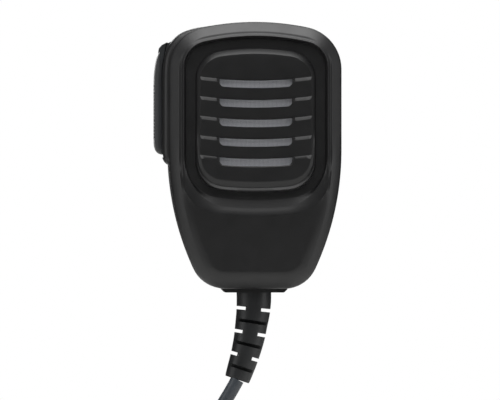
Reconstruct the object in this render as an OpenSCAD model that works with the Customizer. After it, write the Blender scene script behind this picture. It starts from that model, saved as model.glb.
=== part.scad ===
// Fist microphone for a mobile radio: a two-part case with a slotted grille, a sprung
// push-to-talk bar on its left side, a hang-up button on its back, and a curly cord.
// X is to the right, Y towards the back and Z up. The origin is on the hang-up button's
// axis, where its neck leaves the raised boss on the back.

/* [Case] */
// Half the case's width, without the push-to-talk bar
half_width = 30.2; // [29.8:0.1:30.6]
// Height of the case's top above the hang-up button
top_z = 32; // [31.6:0.1:32.4]
// Height of the case's underside
bottom_z = -61.4; // [-61.8:0.1:-61]
// Depth at which the front and rear case meet
parting_y = -13; // [-13.2:0.1:-12.8]
// Depth of the front case's rim
rim_y = -27; // [-27.4:0.1:-26.8]
// Depth of the rear case's flat back
back_y = -1; // [-1.2:0.1:-0.8]
// Thickness of the moulded walls
wall = 2.2; // [2:0.1:2.4]
// Share of the front's depth that is lost at the bottom
front_taper = 0.2; // [0.16:0.01:0.22]
// Share of the back's depth that is lost at the bottom
back_taper = 0.24; // [0.2:0.01:0.26]

/* [Grille] */
// Number of sound slots
slot_count = 5; // [3:1:5]
// Distance from one slot to the next
slot_pitch = 6.84; // [6.6:0.02:6.9]
// Height of a slot
slot_height = 2.55; // [2.2:0.05:2.8]
// Half the width of a slot
slot_half = 12.6; // [12:0.1:13]
// Height of the middle of the top slot
first_slot_z = 10.1; // [9.8:0.1:10.4]
// How far a slot's ends rise above its middle
slot_sag = 0.55; // [0.4:0.05:0.7]

/* [Push-to-talk bar] */
// Half the bar's width along Y
bar_half = 6.6; // [6.2:0.1:6.8]
// Radius of the steel pivot pin
pivot_r = 1; // [0.9:0.05:1.1]
// Radial clearance of a moving shaft in its hole
running_gap = 0.05; // [0.03:0.01:0.09]

/* [Hang-up button] */
// Radius of the neck that the hanger's slot takes
neck_r = 3; // [2.8:0.1:3.2]
// Length of the neck, from the boss to the head
neck_length = 3.2; // [3:0.1:3.6]
// Radius of the head
head_r = 5.8; // [5.5:0.1:6]

/* [Cord] */
// Diameter of the cord's jacket
cord_d = 4.8; // [4.6:0.1:5]
// Outer diameter of the curly stretch
curl_d = 14.6; // [14.4:0.1:14.8]
// Radius of the stored coil, at the middle of the curly stretch
coil_r = 26; // [26:0.1:26.4]

/* [Hidden] */

// Roundness of turned and drilled shapes
$fn = 48;
// A little more than enough, where one cut runs past another's face
over = 1;

// Case outline: a shallow arc on top, rounded corners, sides that draw in to the bottom
top_arc_r = 90;
corner_r = 15;
side_z = -13;
taper_z = -10;
side_arc_r = 99;
foot_r = 12;
arc_steps = 7;
corner_x = half_width - corner_r;
corner_z = top_z - top_arc_r + sqrt(pow(top_arc_r - corner_r, 2) - pow(corner_x, 2));
side_arc_x = half_width - side_arc_r;
foot_z = bottom_z + foot_r;
foot_x = side_arc_x + sqrt(pow(side_arc_r - foot_r, 2) - pow(side_z - foot_z, 2));
corner_angle = atan2(corner_z - top_z + top_arc_r, corner_x);
foot_angle = atan2(foot_z - side_z, foot_x - side_arc_x);

// Bevels of the two shells: [depth, how far the outline has moved inwards there]
front_levels = [
    [parting_y, 0], [-22.4, 0], [-24.6, 0.6], [-26.2, 1.8], [rim_y, 3.4]
];
back_levels = [
    [parting_y, 0], [-4.4, 0], [-2.8, 0.5], [-1.7, 1.6], [back_y, 3.6]
];

// Depths inside, from the front backwards
moat_y = -25;
boss_y = -27.6;
panel_thickness = 1.8;
cloth_thickness = 0.4;
frame_thickness = 1.2;
cloth_y = boss_y + panel_thickness;
frame_y = cloth_y + cloth_thickness;
cavity_y = -23;
board_y = -18.6;
board_thickness = 1.6;
board_back = board_y + board_thickness;
rear_inside_y = back_y - wall;

// Fasteners: [x, z] of each
case_screw_places = [[-18.2, 22], [18.2, 22], [-12, -50], [12, -50]];
board_screw_places = [[-19, 11], [19, 11], [0, -34]];
clamp_screw_places = [[-5.4, -50], [5.4, -50]];
screw_seat_y = -6;
case_screw_r = 1.3;
small_screw_r = 0.95;

// Push-to-talk bar: outline points in X and Z, and the parts inside
pivot_x = -24.5;
pivot_z = 20.5;
pin_front = -22.2;
pin_back = -5.6;
window_low = -15.4;
window_high = 25.6;
bezel_half = 9.4;
bar_inner_x = -31.2;
bar_outline = [
    [-31.2, -14.4], [-32.6, -14.3], [-33.7, -13.9], [-34.7, -12.6], [-35.1, -11],
    [-35.1, 13], [-34.7, 16.4], [-33.8, 19.8], [-32.4, 22.4], [-30.6, 24.4], [-28.9, 25.2],
    [-28.9, 23.6], [-31.2, 21.6]
];
bezel_outline = [
    [-17, 30.4], [-20, 30.2], [-23.6, 29.3], [-26.4, 28.1], [-28.6, 26.4], [-30.2, 24.2],
    [-31.5, 21], [-32.2, 17], [-32.3, 14], [-32.3, -14.2], [-32.1, -16], [-30.6, -18.1],
    [-28, -18.4], [-17, 0]
];
switch_z = -2;
switch_y = -13;
tip_x = -23.85;
plunger_r = 1.2;
spring_z = -10;
spring_r = 2;
spring_wire_r = 0.25;
spring_turns = 5;
spring_start_x = -28.7;
spring_end_x = -23.2;

// Strain relief: its axis bends to the left on the way down
relief_axis = [
    [0, -59], [0, -62], [0, -66], [-0.3, -70], [-0.9, -74], [-1.5, -78], [-2.4, -82],
    [-3.5, -86], [-4.8, -90], [-5.9, -93.3]
];
relief_radii = [6.1, 6.1, 6.05, 5.9, 5.65, 5.45, 5.2, 4.95, 4.7, 4.4];
relief_hole_r = 6.15;
// Slots across the relief: [index along the axis, 0 for left and right, 90 for front and back]
relief_slots = [
    [2.65, 0], [3.75, 90], [4.75, 0], [5.75, 90], [6.8, 0], [7.8, 90]
];
relief_slot_height = 1.2;
relief_web = 2.5;

// Cord: the curly stretch is stored as a two-layer coil that hangs below the relief
coil_x = -4;
coil_z = -145;
curl_r = curl_d / 2;
layer_offset = 7.5;
tail_route = [
    [-5.4, -13, -91.8], [-6.8, -13, -95], [-8.5, -12.8, -98], [-10.6, -12.4, -101.5],
    [-12.9, -11.6, -106], [-15.2, -10.3, -111], [-17.6, -8.8, -116], [-20, -7.3, -121],
    [-22.6, -6.2, -126], [-26.9, -5.5, -132.8]
];
plug_route = [
    [12, -20.5, -124.5], [8.4, -20.5, -121.9], [4.6, -20.5, -120.6], [0.9, -20.6, -121.1],
    [-2.1, -20.7, -123.6], [-3.7, -20.8, -127], [-4, -20.8, -130.5], [-4, -20.8, -133.5]
];
tie_angles = [30, 185];
tie_width = 8;
tie_thickness = 1.2;
tie_gap = 0.7;

// Modular plug, nose down, hanging in the middle of the coil
plug_y = -20.8;
plug_top_z = -140;
plug_width = 11.7;
plug_depth = 6.6;
plug_length = 21.5;
contact_pitch = 1.02;
contact_count = 8;
latch_r = 0.5;
latch_z = plug_top_z - plug_length + 2.2;
latch_y = plug_y + plug_depth / 2 + 0.75;

// --- shapes shared by several parts ------------------------------------------------

// Points along an arc in the plane of X and Z
function arc(x, z, r, from, to, steps) =
    [for (i = [0:steps]) let (a = from + (to - from) * i / steps) [x + r * cos(a), z + r * sin(a)]];

// A closed outline from its right half, which runs from the top centre to the bottom edge
function mirrored(half) =
    concat(half, [for (i = [len(half) - 1:-1:1]) [-half[i][0], half[i][1]]]);

// Right half of the case's outline, moved inwards by inset
function case_half(inset) = concat(
    arc(0, top_z - top_arc_r, top_arc_r - inset, 90, corner_angle, 4),
    arc(corner_x, corner_z, corner_r - inset, corner_angle - 6, 0, arc_steps),
    arc(side_arc_x, side_z, side_arc_r - inset, 0, foot_angle, 8),
    arc(foot_x, foot_z, foot_r - inset, foot_angle - 8, -90, arc_steps)
);

// Right half of a panel with bowed ends: its half width, ends, bow radii and corner radii
function panel_half(w, high, low, bow_high, bow_low, r_high, r_low, inset = 0) = let (
    x_high = w - r_high,
    x_low = w - r_low,
    z_high = high - bow_high + sqrt(pow(bow_high - r_high, 2) - pow(x_high, 2)),
    z_low = low + bow_low - sqrt(pow(bow_low - r_low, 2) - pow(x_low, 2)),
    turn_high = atan2(z_high - high + bow_high, x_high),
    turn_low = atan2(z_low - low - bow_low, x_low)
) concat(
    arc(0, high - bow_high, bow_high - inset, 90, turn_high, 3),
    arc(x_high, z_high, r_high - inset, turn_high - 8, 0, arc_steps),
    arc(x_low, z_low, r_low - inset, 0, turn_low + 8, arc_steps),
    arc(0, low + bow_low, bow_low - inset, turn_low, -88, 3)
);

// How much of the case's depth is left at a height
function depth_left(z, taper) =
    z > taper_z ? 1 : 1 - taper * pow((taper_z - z) / (taper_z - bottom_z), 1.5);

// One ring of a shell: an outline put at a depth, which the taper brings nearer the parting
function ring(half, y, taper) =
    [for (p = mirrored(half)) [p[0], parting_y + (y - parting_y) * depth_left(p[1], taper), p[1]]];

// Triangles of a stack of rings, with a cap of level strips at each end
function stack_faces(rings) = let (
    n = len(rings[0]),
    last = (len(rings) - 1) * n,
    m = (n - 1) / 2
) concat(
    [for (k = [0:len(rings) - 2], i = [0:n - 1]) let (a = k * n + i, b = k * n + (i + 1) % n)
        [a, b, b + n]],
    [for (k = [0:len(rings) - 2], i = [0:n - 1]) let (a = k * n + i, b = k * n + (i + 1) % n)
        [a, b + n, a + n]],
    [for (i = [0:m - 1]) [i + 1, i, n - i - 1]],
    [for (i = [1:m - 1]) [i, n - i, n - i - 1]],
    [for (i = [0:m - 1]) [last + i, last + i + 1, last + n - i - 1]],
    [for (i = [1:m - 1]) [last + n - i, last + i, last + n - i - 1]]
);

// A solid through rings that run from the back to the front
module stack(rings) {
    polyhedron(
        points = [for (r = rings) each r],
        faces = stack_faces(rings),
        convexity = 8
    );
}

// A flat plate cut to an outline, from one depth to another
module plate(half, front, back) {
    translate([0, back, 0]) rotate([90, 0, 0])
        linear_extrude(back - front) polygon(mirrored(half));
}

// A prism with a side view in X and Z, from one depth to another
module side_prism(points, front, back) {
    translate([0, back, 0]) rotate([90, 0, 0]) linear_extrude(back - front) polygon(points);
}

// A round bar along Y
module rod_y(x, z, r, front, back) {
    translate([x, back, z]) rotate([90, 0, 0]) cylinder(r = r, h = back - front);
}

// A block between two corners
module block(low, high) {
    translate(low) cube(high - low);
}

// Round sections swept along a route, square to it
function unit(v) = v / norm(v);
function heading(route, i) =
    unit(route[min(i + 1, len(route) - 1)] - route[max(i - 1, 0)]);
function section(centre, along, up, r, sides) = let (
    u = unit(cross(along, up)),
    v = cross(along, u)
) [for (s = [0:sides - 1]) let (a = 360 * s / sides) centre + r * (cos(a) * u + sin(a) * v)];

module tube(route, radii, sides, up) {
    n = len(route);
    sections = [for (i = [0:n - 1]) each section(route[i], heading(route, i), up, radii[i], sides)];
    walls = [
        for (k = [0:n - 2], s = [0:sides - 1]) let (a = k * sides + s, b = k * sides + (s + 1) % sides)
            each [[a, a + sides, b + sides], [a, b + sides, b]]
    ];
    first_cap = [for (s = [0:sides - 1]) s];
    last_cap = [for (s = [sides - 1:-1:0]) (n - 1) * sides + s];
    polyhedron(points = sections, faces = concat(walls, [first_cap, last_cap]), convexity = 6);
}

// A pan-head screw along Y, head towards the back
module pan_screw(x, z, r, head, head_height, tip, seat) {
    difference() {
        union() {
            rod_y(x, z, r, tip, seat);
            rod_y(x, z, head, seat, seat + head_height);
        }
        for (turn = [0, 90])
            translate([x, seat + head_height, z]) rotate([0, turn, 0])
                cube([head * 1.1, head_height, head * 0.25], center = true);
    }
}

// --- case --------------------------------------------------------------------------

module moat() {
    stack([
        ring(panel_half(24.4, 25.9, -30, 83, 110, 8, 12), moat_y, 0),
        ring(panel_half(25.2, 27.3, -43.7, 83, 110, 9, 14), rim_y - over, 0)
    ]);
}

module grille_boss() {
    foot = panel_half(20.7, 22.6, -27.4, 75, 100, 10, 10);
    stack([
        ring(foot, moat_y + 0.5, 0),
        ring(foot, moat_y - 0.3, 0),
        ring(panel_half(18.9, 20.8, -23.9, 75, 100, 8, 8), boss_y, 0)
    ]);
}

// The opening behind the grille, and what lies in it, grown by a little
function grille_half(grow) = panel_half(16.2 + grow, 17.8 + grow, -21.5 - grow, 75, 100, 6, 6);

module front_cavity() {
    stack([
        ring(case_half(wall), parting_y + 0.2, front_taper),
        ring(case_half(wall), -21.4, front_taper),
        ring(case_half(wall + 2.2), cavity_y, front_taper)
    ]);
}

// Depth of the middle of the front wall, where posts end
function front_root(z) = parting_y + (cavity_y - 1 - parting_y) * depth_left(z, front_taper);

module front_posts() {
    for (p = case_screw_places) rod_y(p[0], p[1], 3, front_root(p[1]), parting_y);
    for (p = board_screw_places) rod_y(p[0], p[1], 2.2, front_root(p[1]), board_y);
    for (p = clamp_screw_places) rod_y(p[0], p[1], 2.2, front_root(p[1]), parting_y - 2.4);
    // One post stops the switch spring, and one holds the front end of the pivot pin
    block(
        [spring_end_x, cavity_y - 1, spring_z - 2.6],
        [spring_end_x + 1.5, parting_y + 2.4, spring_z + 2.6]
    );
    rod_y(pivot_x, pivot_z, 2.4, cavity_y - 1, pin_front + 2);
}

// Top edge of a slot or a ledge, at a distance from the middle
function sag_at(x) = slot_sag * pow(x / slot_half, 2);
function slot_band(from, to, high, low) = concat(
    [for (i = [0:8]) let (x = from + (to - from) * i / 8) [x, high + sag_at(x)]],
    [for (i = [8:-1:0]) let (x = from + (to - from) * i / 8) [x, low + sag_at(x)]]
);

module slots() {
    for (i = [0:slot_count - 1]) {
        high = first_slot_z - slot_pitch * i + slot_height / 2;
        slot = slot_band(-slot_half, slot_half, high, high - slot_height);
        side_prism(slot, boss_y - over, cloth_y + 0.1);
        // The slot goes on outwards as a shallow ledge
        for (side = [-1, 1])
            side_prism(slot_band(side * 13.3, side * 18.6, high, high - 1), boss_y - over, boss_y + 0.6);
    }
}

module bar_window() {
    block(
        [-half_width - 4, parting_y - bar_half - 0.4, window_low],
        [-26, parting_y + bar_half + 0.4, window_high]
    );
}

module relief_hole() {
    translate([0, parting_y, bottom_z - 3]) cylinder(r = relief_hole_r, h = 3 + wall + over);
}

module front_case() {
    color([0.14, 0.14, 0.15])
    difference() {
        union() {
            difference() {
                stack([for (level = front_levels) ring(case_half(level[1]), level[0], front_taper)]);
                moat();
                front_cavity();
            }
            grille_boss();
            front_posts();
        }
        plate(grille_half(0.2), cloth_y, cavity_y + over);
        slots();
        bar_window();
        relief_hole();
        for (p = case_screw_places) rod_y(p[0], p[1], case_screw_r + 0.05, -21, parting_y + over);
        for (p = board_screw_places) rod_y(p[0], p[1], small_screw_r + 0.05, -22.6, board_y + over);
        for (p = clamp_screw_places) rod_y(p[0], p[1], small_screw_r + 0.05, -20, parting_y);
        rod_y(pivot_x, pivot_z, pivot_r + 0.02, pin_front - 0.1, parting_y);
    }
}

module rear_cavity() {
    stack([
        ring(case_half(wall + 2.4), rear_inside_y, back_taper),
        ring(case_half(wall), -4.8, back_taper),
        ring(case_half(wall), parting_y - 0.2, back_taper)
    ]);
}

// Depth of the middle of the back wall, where posts end
function rear_root(z) = parting_y + (back_y - 1.2 - parting_y) * depth_left(z, back_taper);

module rear_posts() {
    for (p = case_screw_places) rod_y(p[0], p[1], 4, parting_y, rear_root(p[1]));
    rod_y(0, 0, 6, rear_inside_y - 0.6, rear_root(0));
    rod_y(pivot_x, pivot_z, 2.4, pin_back - 1.4, rear_root(0));
}

module rear_case() {
    color([0.13, 0.13, 0.14])
    difference() {
        union() {
            difference() {
                stack([for (i = [len(back_levels) - 1:-1:0])
                    ring(case_half(back_levels[i][1]), back_levels[i][0], back_taper)]);
                rear_cavity();
            }
            rear_posts();
            rod_y(0, 0, 9, back_y - 0.6, 0);
        }
        bar_window();
        relief_hole();
        rod_y(0, 0, 2.55, rear_inside_y - 2, over);
        rod_y(pivot_x, pivot_z, pivot_r + 0.02, parting_y, pin_back + 0.1);
        for (p = case_screw_places) {
            rod_y(p[0], p[1], 3, screw_seat_y, over);
            rod_y(p[0], p[1], case_screw_r + 0.3, parting_y - over, screw_seat_y + over);
        }
        translate([0, -2.4, -32]) rotate([-7.5, 0, 0]) block([-12.1, 0, -8.1], [12.1, 4, 8.1]);
    }
}

module rear_label() {
    color([0.55, 0.56, 0.58])
        translate([0, -2.4, -32]) rotate([-7.5, 0, 0]) block([-11.9, 0, -7.9], [11.9, 0.4, 7.9]);
}

module case_screws() {
    color([0.72, 0.72, 0.74])
    for (p = case_screw_places)
        pan_screw(p[0], p[1], case_screw_r, 2.7, 1.9, -20, screw_seat_y);
}

// --- push-to-talk bar --------------------------------------------------------------

module ptt_bezel() {
    color([0.15, 0.15, 0.17])
    difference() {
        side_prism(bezel_outline, parting_y - bezel_half, parting_y + bezel_half - 1);
        plate(case_half(-0.01), parting_y - bezel_half - over, parting_y + bezel_half + over);
        bar_window();
    }
}

module ptt_cover() {
    color([0.2, 0.21, 0.22])
        side_prism(bar_outline, parting_y - bar_half, parting_y + bar_half);
}

module ptt_lever() {
    color([0.16, 0.16, 0.17])
    difference() {
        union() {
            block(
                [bar_inner_x + 0.01, parting_y - bar_half, -14.2],
                [-29.2, parting_y + bar_half, 21.4]
            );
            // Arms reach in to the pivot, a nose to the switch, and a stub takes the spring
            for (y = [parting_y - 5.6, parting_y + 3.4])
                side_prism([
                    [-30, 10], [-30, 21.4], [pivot_x - 1, pivot_z + 1.6],
                    [pivot_x + 1.9, pivot_z + 0.9], [pivot_x + 1.9, pivot_z - 0.9], [-29, 8]
                ], y, y + 2.2);
            block([-30, switch_y - 2, switch_z - 1.6], [tip_x - 0.15, switch_y + 2, switch_z + 1.6]);
            translate([-29.3, switch_y, spring_z]) rotate([0, 90, 0])
                cylinder(r = spring_r - spring_wire_r - 0.2, h = 2.6);
        }
        rod_y(pivot_x, pivot_z, pivot_r + running_gap, -30, 0);
    }
}

module pivot_pin() {
    color([0.75, 0.75, 0.77])
        rod_y(pivot_x, pivot_z, pivot_r, pin_front, pin_back);
}

module ptt_spring() {
    steps = 14 * spring_turns;
    route = [
        for (i = [0:steps]) let (a = 360 * i / 14, x = spring_start_x + 0.3
            + (spring_end_x - spring_start_x - 0.7) * i / steps)
            [x, switch_y + spring_r * cos(a), spring_z + spring_r * sin(a)]
    ];
    color([0.78, 0.78, 0.8])
        tube(route, [for (p = route) spring_wire_r], 6, [1, 0, 0]);
}

module ptt_switch() {
    color([0.1, 0.1, 0.1])
    difference() {
        block([-22, board_back, switch_z - 3.4], [-14.5, board_back + 6.6, switch_z + 3.4]);
        translate([-22 - over, switch_y, switch_z]) rotate([0, 90, 0])
            cylinder(r = plunger_r + running_gap, h = 5 + over);
    }
}

module switch_plunger() {
    color([0.75, 0.2, 0.15])
        translate([tip_x, switch_y, switch_z]) rotate([0, 90, 0]) cylinder(r = plunger_r, h = 4.4);
}

// --- sound and circuit -------------------------------------------------------------

module grille_cloth() {
    color([0.62, 0.63, 0.66])
        plate(grille_half(0), cloth_y, frame_y);
}

module cloth_frame() {
    color([0.1, 0.1, 0.11])
    difference() {
        plate(grille_half(-0.1), frame_y, frame_y + frame_thickness);
        block([-13.4, frame_y - over, -19.4], [13.4, frame_y + 3, 12.6]);
    }
}

module capsule_boot() {
    color([0.12, 0.12, 0.12])
    difference() {
        rod_y(0, -1.8, 7.4, frame_y + 0.05, board_y - 0.1);
        rod_y(0, -1.8, 4.95, frame_y - over, board_y + over);
    }
}

module mic_capsule() {
    color([0.78, 0.78, 0.8])
    difference() {
        rod_y(0, -1.8, 4.85, frame_y + 0.8, board_y - 0.4);
        rod_y(0, -1.8, 1, frame_y, frame_y + 1.3);
    }
}

module circuit_board() {
    color([0.1, 0.38, 0.2])
    difference() {
        side_prism([
            [-21.4, 12.5], [-21.4, -28], [-14, -38], [14, -38], [21.4, -28], [21.4, 14],
            [18.5, 17.2], [-17, 17.2]
        ], board_y, board_back);
        for (p = board_screw_places) rod_y(p[0], p[1], small_screw_r + 0.2, -30, 0);
    }
}

module board_screws() {
    color([0.72, 0.72, 0.74])
    for (p = board_screw_places)
        pan_screw(p[0], p[1], small_screw_r, 1.9, 1.3, -22, board_back);
}

module wire_header() {
    color([0.9, 0.9, 0.86])
    difference() {
        block([-8, board_back, -28], [8, board_back + 5.4, -23.2]);
        block([-7.2, board_back + 1, -28 - over], [7.2, board_back + 4.6, -24.4]);
    }
}

module amplifier_chip() {
    color([0.08, 0.08, 0.09])
        block([3, board_back, -12], [9, board_back + 1.6, -6]);
}

module capacitors() {
    color([0.2, 0.22, 0.45])
    for (place = [[14, -2], [14, -9], [-8, -14]])
        rod_y(place[0], place[1], 2.5, board_back, board_back + 5.4);
}

// Four wires fan out from the cable's cut end to the header
module signal_wires() {
    wire_r = 0.5;
    for (k = [0:3]) {
        start_x = -1.65 + 1.1 * k;
        end_x = -4.8 + 3.2 * k;
        route = [
            [start_x, -13, -45], [start_x, -13, -42], [start_x * 1.5, -13.2, -38.5],
            [(start_x + end_x) / 2, -13.8, -35], [end_x, -14.2, -31.5], [end_x, -14.2, -28.6],
            [end_x, -14.2, -24.6]
        ];
        color([[0.8, 0.1, 0.1], [0.9, 0.9, 0.9], [0.1, 0.4, 0.8], [0.1, 0.1, 0.1]][k])
            tube(route, [for (p = route) wire_r], 8, [0, 1, 0]);
    }
}

module inner_cable() {
    color([0.12, 0.12, 0.13])
        translate([0, parting_y, -57]) cylinder(r = cord_d / 2, h = 12);
}

module cable_clamp() {
    color([0.85, 0.85, 0.83])
    difference() {
        block([-7.8, parting_y - 2.4, -52.4], [7.8, parting_y + 4, -47.6]);
        translate([0, parting_y, -60]) cylinder(r = cord_d / 2, h = 20);
        block([-cord_d / 2, parting_y - 3, -60], [cord_d / 2, parting_y, -40]);
        for (p = clamp_screw_places) {
            rod_y(p[0], p[1], small_screw_r + 0.15, -20, 0);
            rod_y(p[0], p[1], 2.05, parting_y - 0.4, 0);
        }
    }
}

module clamp_screws() {
    color([0.72, 0.72, 0.74])
    for (p = clamp_screw_places)
        pan_screw(p[0], p[1], small_screw_r, 1.9, 1.3, -19.4, parting_y - 0.4);
}

// --- hang-up button ----------------------------------------------------------------

module hang_up_button() {
    head_height = 2.6;
    shank_end = rear_inside_y - 0.6;
    crown = [for (i = [0:6]) let (a = 15 * i) [
        head_r - 1.1 + 1.1 * cos(a), neck_length + head_height - 1.1 + 1.1 * sin(a)
    ]];
    color([0.8, 0.8, 0.82])
    rotate([-90, 0, 0]) rotate_extrude() polygon(concat(
        [[1.55, shank_end], [2.5, shank_end], [2.5, 0], [neck_r, 0], [neck_r, neck_length],
            [head_r - 0.5, neck_length], [head_r, neck_length + 0.5]],
        crown,
        [[0, neck_length + head_height], [0, 1.4], [1.55, 1.4]]
    ));
}

module hang_up_plate() {
    color([0.8, 0.72, 0.4])
    difference() {
        union() {
            block([-8, rear_inside_y - 1.6, -6], [8, rear_inside_y - 0.6, 6]);
            block([8 - over, rear_inside_y - 1.6, -3], [14, rear_inside_y - 0.6, 3]);
        }
        rod_y(0, 0, 1.6, -10, 0);
    }
}

module button_screw() {
    color([0.72, 0.72, 0.74])
    difference() {
        union() {
            rod_y(0, 0, 1.5, rear_inside_y - 1.7, 0.8);
            rod_y(0, 0, 3, rear_inside_y - 3.8, rear_inside_y - 1.6);
        }
        for (turn = [0, 90])
            translate([0, rear_inside_y - 3.8, 0]) rotate([0, turn, 0])
                cube([3.2, 2, 0.7], center = true);
    }
}

// --- cord --------------------------------------------------------------------------

function relief_point(t) = let (i = min(floor(t), len(relief_axis) - 2), f = t - i)
    relief_axis[i] * (1 - f) + relief_axis[i + 1] * f;

module strain_relief() {
    route = [for (p = relief_axis) [p[0], parting_y, p[1]]];
    color([0.16, 0.17, 0.19])
    union() {
        difference() {
            tube(route, relief_radii, 24, [0, 1, 0]);
            for (slot = relief_slots) {
                place = relief_point(slot[0]);
                lean = relief_point(slot[0] + 0.4) - relief_point(slot[0] - 0.4);
                tilt = atan2(-lean[0], -lean[1]);
                for (side = [0, 180])
                    translate([place[0], parting_y, place[1]]) rotate([0, tilt, 0])
                        rotate([0, 0, slot[1] + side])
                            translate([relief_web, -8, -relief_slot_height / 2])
                                cube([8, 16, relief_slot_height]);
            }
        }
        // A flange holds the relief behind the case's bottom wall
        block([-8, parting_y - 6.3, -59.15], [8, parting_y + 6.15, -57.05]);
    }
}

// A chamfered plate round the strain relief closes the case's underside
module relief_collar() {
    color([0.14, 0.14, 0.15])
    difference() {
        side_prism([
            [-11.6, bottom_z - 0.02], [-10.2, bottom_z - 1.3], [10.2, bottom_z - 1.3],
            [11.6, bottom_z - 0.02]
        ], parting_y - 5, parting_y + 7);
        translate([0, parting_y, bottom_z - 3]) cylinder(r = relief_hole_r, h = 5);
    }
}

module cord_tail() {
    color([0.16, 0.17, 0.19])
        tube(tail_route, [for (p = tail_route) cord_d / 2], 12, [0, 1, 0]);
}

module curly_cord() {
    color([0.16, 0.17, 0.19])
    translate([coil_x, parting_y, coil_z]) rotate([90, 0, 0])
        rotate_extrude($fn = 96) translate([coil_r, 0]) {
            for (side = [-1, 1]) translate([0, side * layer_offset]) circle(r = curl_r);
            translate([-curl_r, -layer_offset]) square([curl_d, 2 * layer_offset]);
        }
}

module tie_section(r) {
    for (side = [-1, 1]) translate([0, side * layer_offset]) circle(r = r);
    translate([-r, -layer_offset]) square([2 * r, 2 * layer_offset]);
}

module cord_ties() {
    inner = curl_r + tie_gap;
    color([0.1, 0.1, 0.1])
    for (turn = tie_angles)
        translate([coil_x, parting_y, coil_z]) rotate([0, -turn, 0]) translate([coil_r, 0, 0])
            translate([0, 0, -tie_width / 2]) linear_extrude(tie_width) difference() {
                tie_section(inner + tie_thickness);
                tie_section(inner);
            }
}

module plug_tail() {
    color([0.16, 0.17, 0.19])
        tube(plug_route, [for (p = plug_route) cord_d / 2], 12, [0, 1, 0]);
}

module plug_boot() {
    color([0.2, 0.2, 0.2])
        translate([coil_x, plug_y, plug_top_z]) cylinder(r1 = 3.2, r2 = 2.9, h = 7);
}

module plug_body() {
    nose = plug_top_z - plug_length;
    color([0.85, 0.88, 0.9])
    difference() {
        block(
            [coil_x - plug_width / 2, plug_y - plug_depth / 2, nose],
            [coil_x + plug_width / 2, plug_y + plug_depth / 2, plug_top_z]
        );
        for (i = [0:contact_count - 1]) {
            x = coil_x + (i - (contact_count - 1) / 2) * contact_pitch;
            block(
                [x - 0.2, plug_y - plug_depth / 2 - over, nose - over],
                [x + 0.2, plug_y - 0.9, nose + 6.2]
            );
        }
    }
    // Two cheeks carry the latch's hinge
    color([0.85, 0.88, 0.9])
    for (side = [-1, 1])
        difference() {
            block(
                [coil_x + side * 2.6 - 0.6, plug_y + plug_depth / 2 - 0.2, latch_z - 1.2],
                [coil_x + side * 2.6 + 0.6, plug_y + plug_depth / 2 + 1.7, latch_z + 1.4]
            );
            translate([coil_x - 5, latch_y, latch_z]) rotate([0, 90, 0])
                cylinder(r = latch_r + running_gap, h = 10);
        }
}

module plug_contacts() {
    nose = plug_top_z - plug_length;
    color([0.85, 0.68, 0.25])
    for (i = [0:contact_count - 1]) {
        x = coil_x + (i - (contact_count - 1) / 2) * contact_pitch;
        block([x - 0.17, plug_y - plug_depth / 2 + 0.4, nose + 0.5], [x + 0.17, plug_y - 0.95, nose + 6.1]);
    }
}

module plug_latch() {
    color([0.85, 0.88, 0.9])
    union() {
        translate([coil_x - 3.1, latch_y, latch_z]) rotate([0, 90, 0]) cylinder(r = latch_r, h = 6.2);
        translate([coil_x, latch_y, latch_z]) rotate([-14, 0, 0])
            block([-1.7, -latch_r, 0], [1.7, latch_r, 11.5]);
    }
}

front_case();
rear_case();
ptt_bezel();
grille_cloth();
cloth_frame();
capsule_boot();
mic_capsule();
circuit_board();
board_screws();
ptt_switch();
wire_header();
amplifier_chip();
capacitors();
signal_wires();
inner_cable();
cable_clamp();
clamp_screws();
hang_up_button();
hang_up_plate();
button_screw();
rear_label();
case_screws();
pivot_pin();
relief_collar();
strain_relief();
cord_tail();
curly_cord();
cord_ties();
plug_tail();
plug_boot();
plug_body();
plug_contacts();
ptt_lever();
ptt_cover();
ptt_spring();
switch_plunger();
plug_latch();
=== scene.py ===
# %% [markdown]
# # A fist microphone for a mobile radio
#
# The microphone is a moulded two-part case with a slotted grille, a push-to-talk bar on its left
# side, a hang-up button on its back and a curly cord that ends in a clear modular plug. The packed
# model holds every piece at its real size. This lesson gives the visible pieces their final shape
# and every piece its finish. Everything is in metres, with Z up and the grille facing -Y.

# %% Load the frame
import math

import bmesh
import bpy
import numpy as np
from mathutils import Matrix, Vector


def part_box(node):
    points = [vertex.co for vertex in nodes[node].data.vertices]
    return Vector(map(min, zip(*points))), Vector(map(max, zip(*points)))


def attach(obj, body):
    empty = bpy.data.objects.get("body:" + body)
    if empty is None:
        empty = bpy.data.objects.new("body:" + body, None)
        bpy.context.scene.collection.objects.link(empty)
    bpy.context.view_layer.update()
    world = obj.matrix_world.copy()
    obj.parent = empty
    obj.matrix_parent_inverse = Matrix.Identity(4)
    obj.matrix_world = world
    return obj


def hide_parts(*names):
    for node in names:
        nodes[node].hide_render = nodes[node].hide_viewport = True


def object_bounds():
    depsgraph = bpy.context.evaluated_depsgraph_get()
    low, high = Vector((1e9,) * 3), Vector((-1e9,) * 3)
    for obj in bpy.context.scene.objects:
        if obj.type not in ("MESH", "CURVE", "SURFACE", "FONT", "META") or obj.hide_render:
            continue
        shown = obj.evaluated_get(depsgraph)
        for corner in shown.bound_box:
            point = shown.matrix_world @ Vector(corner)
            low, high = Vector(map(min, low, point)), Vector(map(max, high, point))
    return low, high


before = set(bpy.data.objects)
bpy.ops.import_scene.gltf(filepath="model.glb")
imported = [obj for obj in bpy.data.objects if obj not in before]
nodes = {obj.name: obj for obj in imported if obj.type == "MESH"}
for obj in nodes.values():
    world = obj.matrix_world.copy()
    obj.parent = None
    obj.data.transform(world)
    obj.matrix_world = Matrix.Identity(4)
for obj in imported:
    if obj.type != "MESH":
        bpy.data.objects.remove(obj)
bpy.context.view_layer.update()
MM = 0.001

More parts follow.
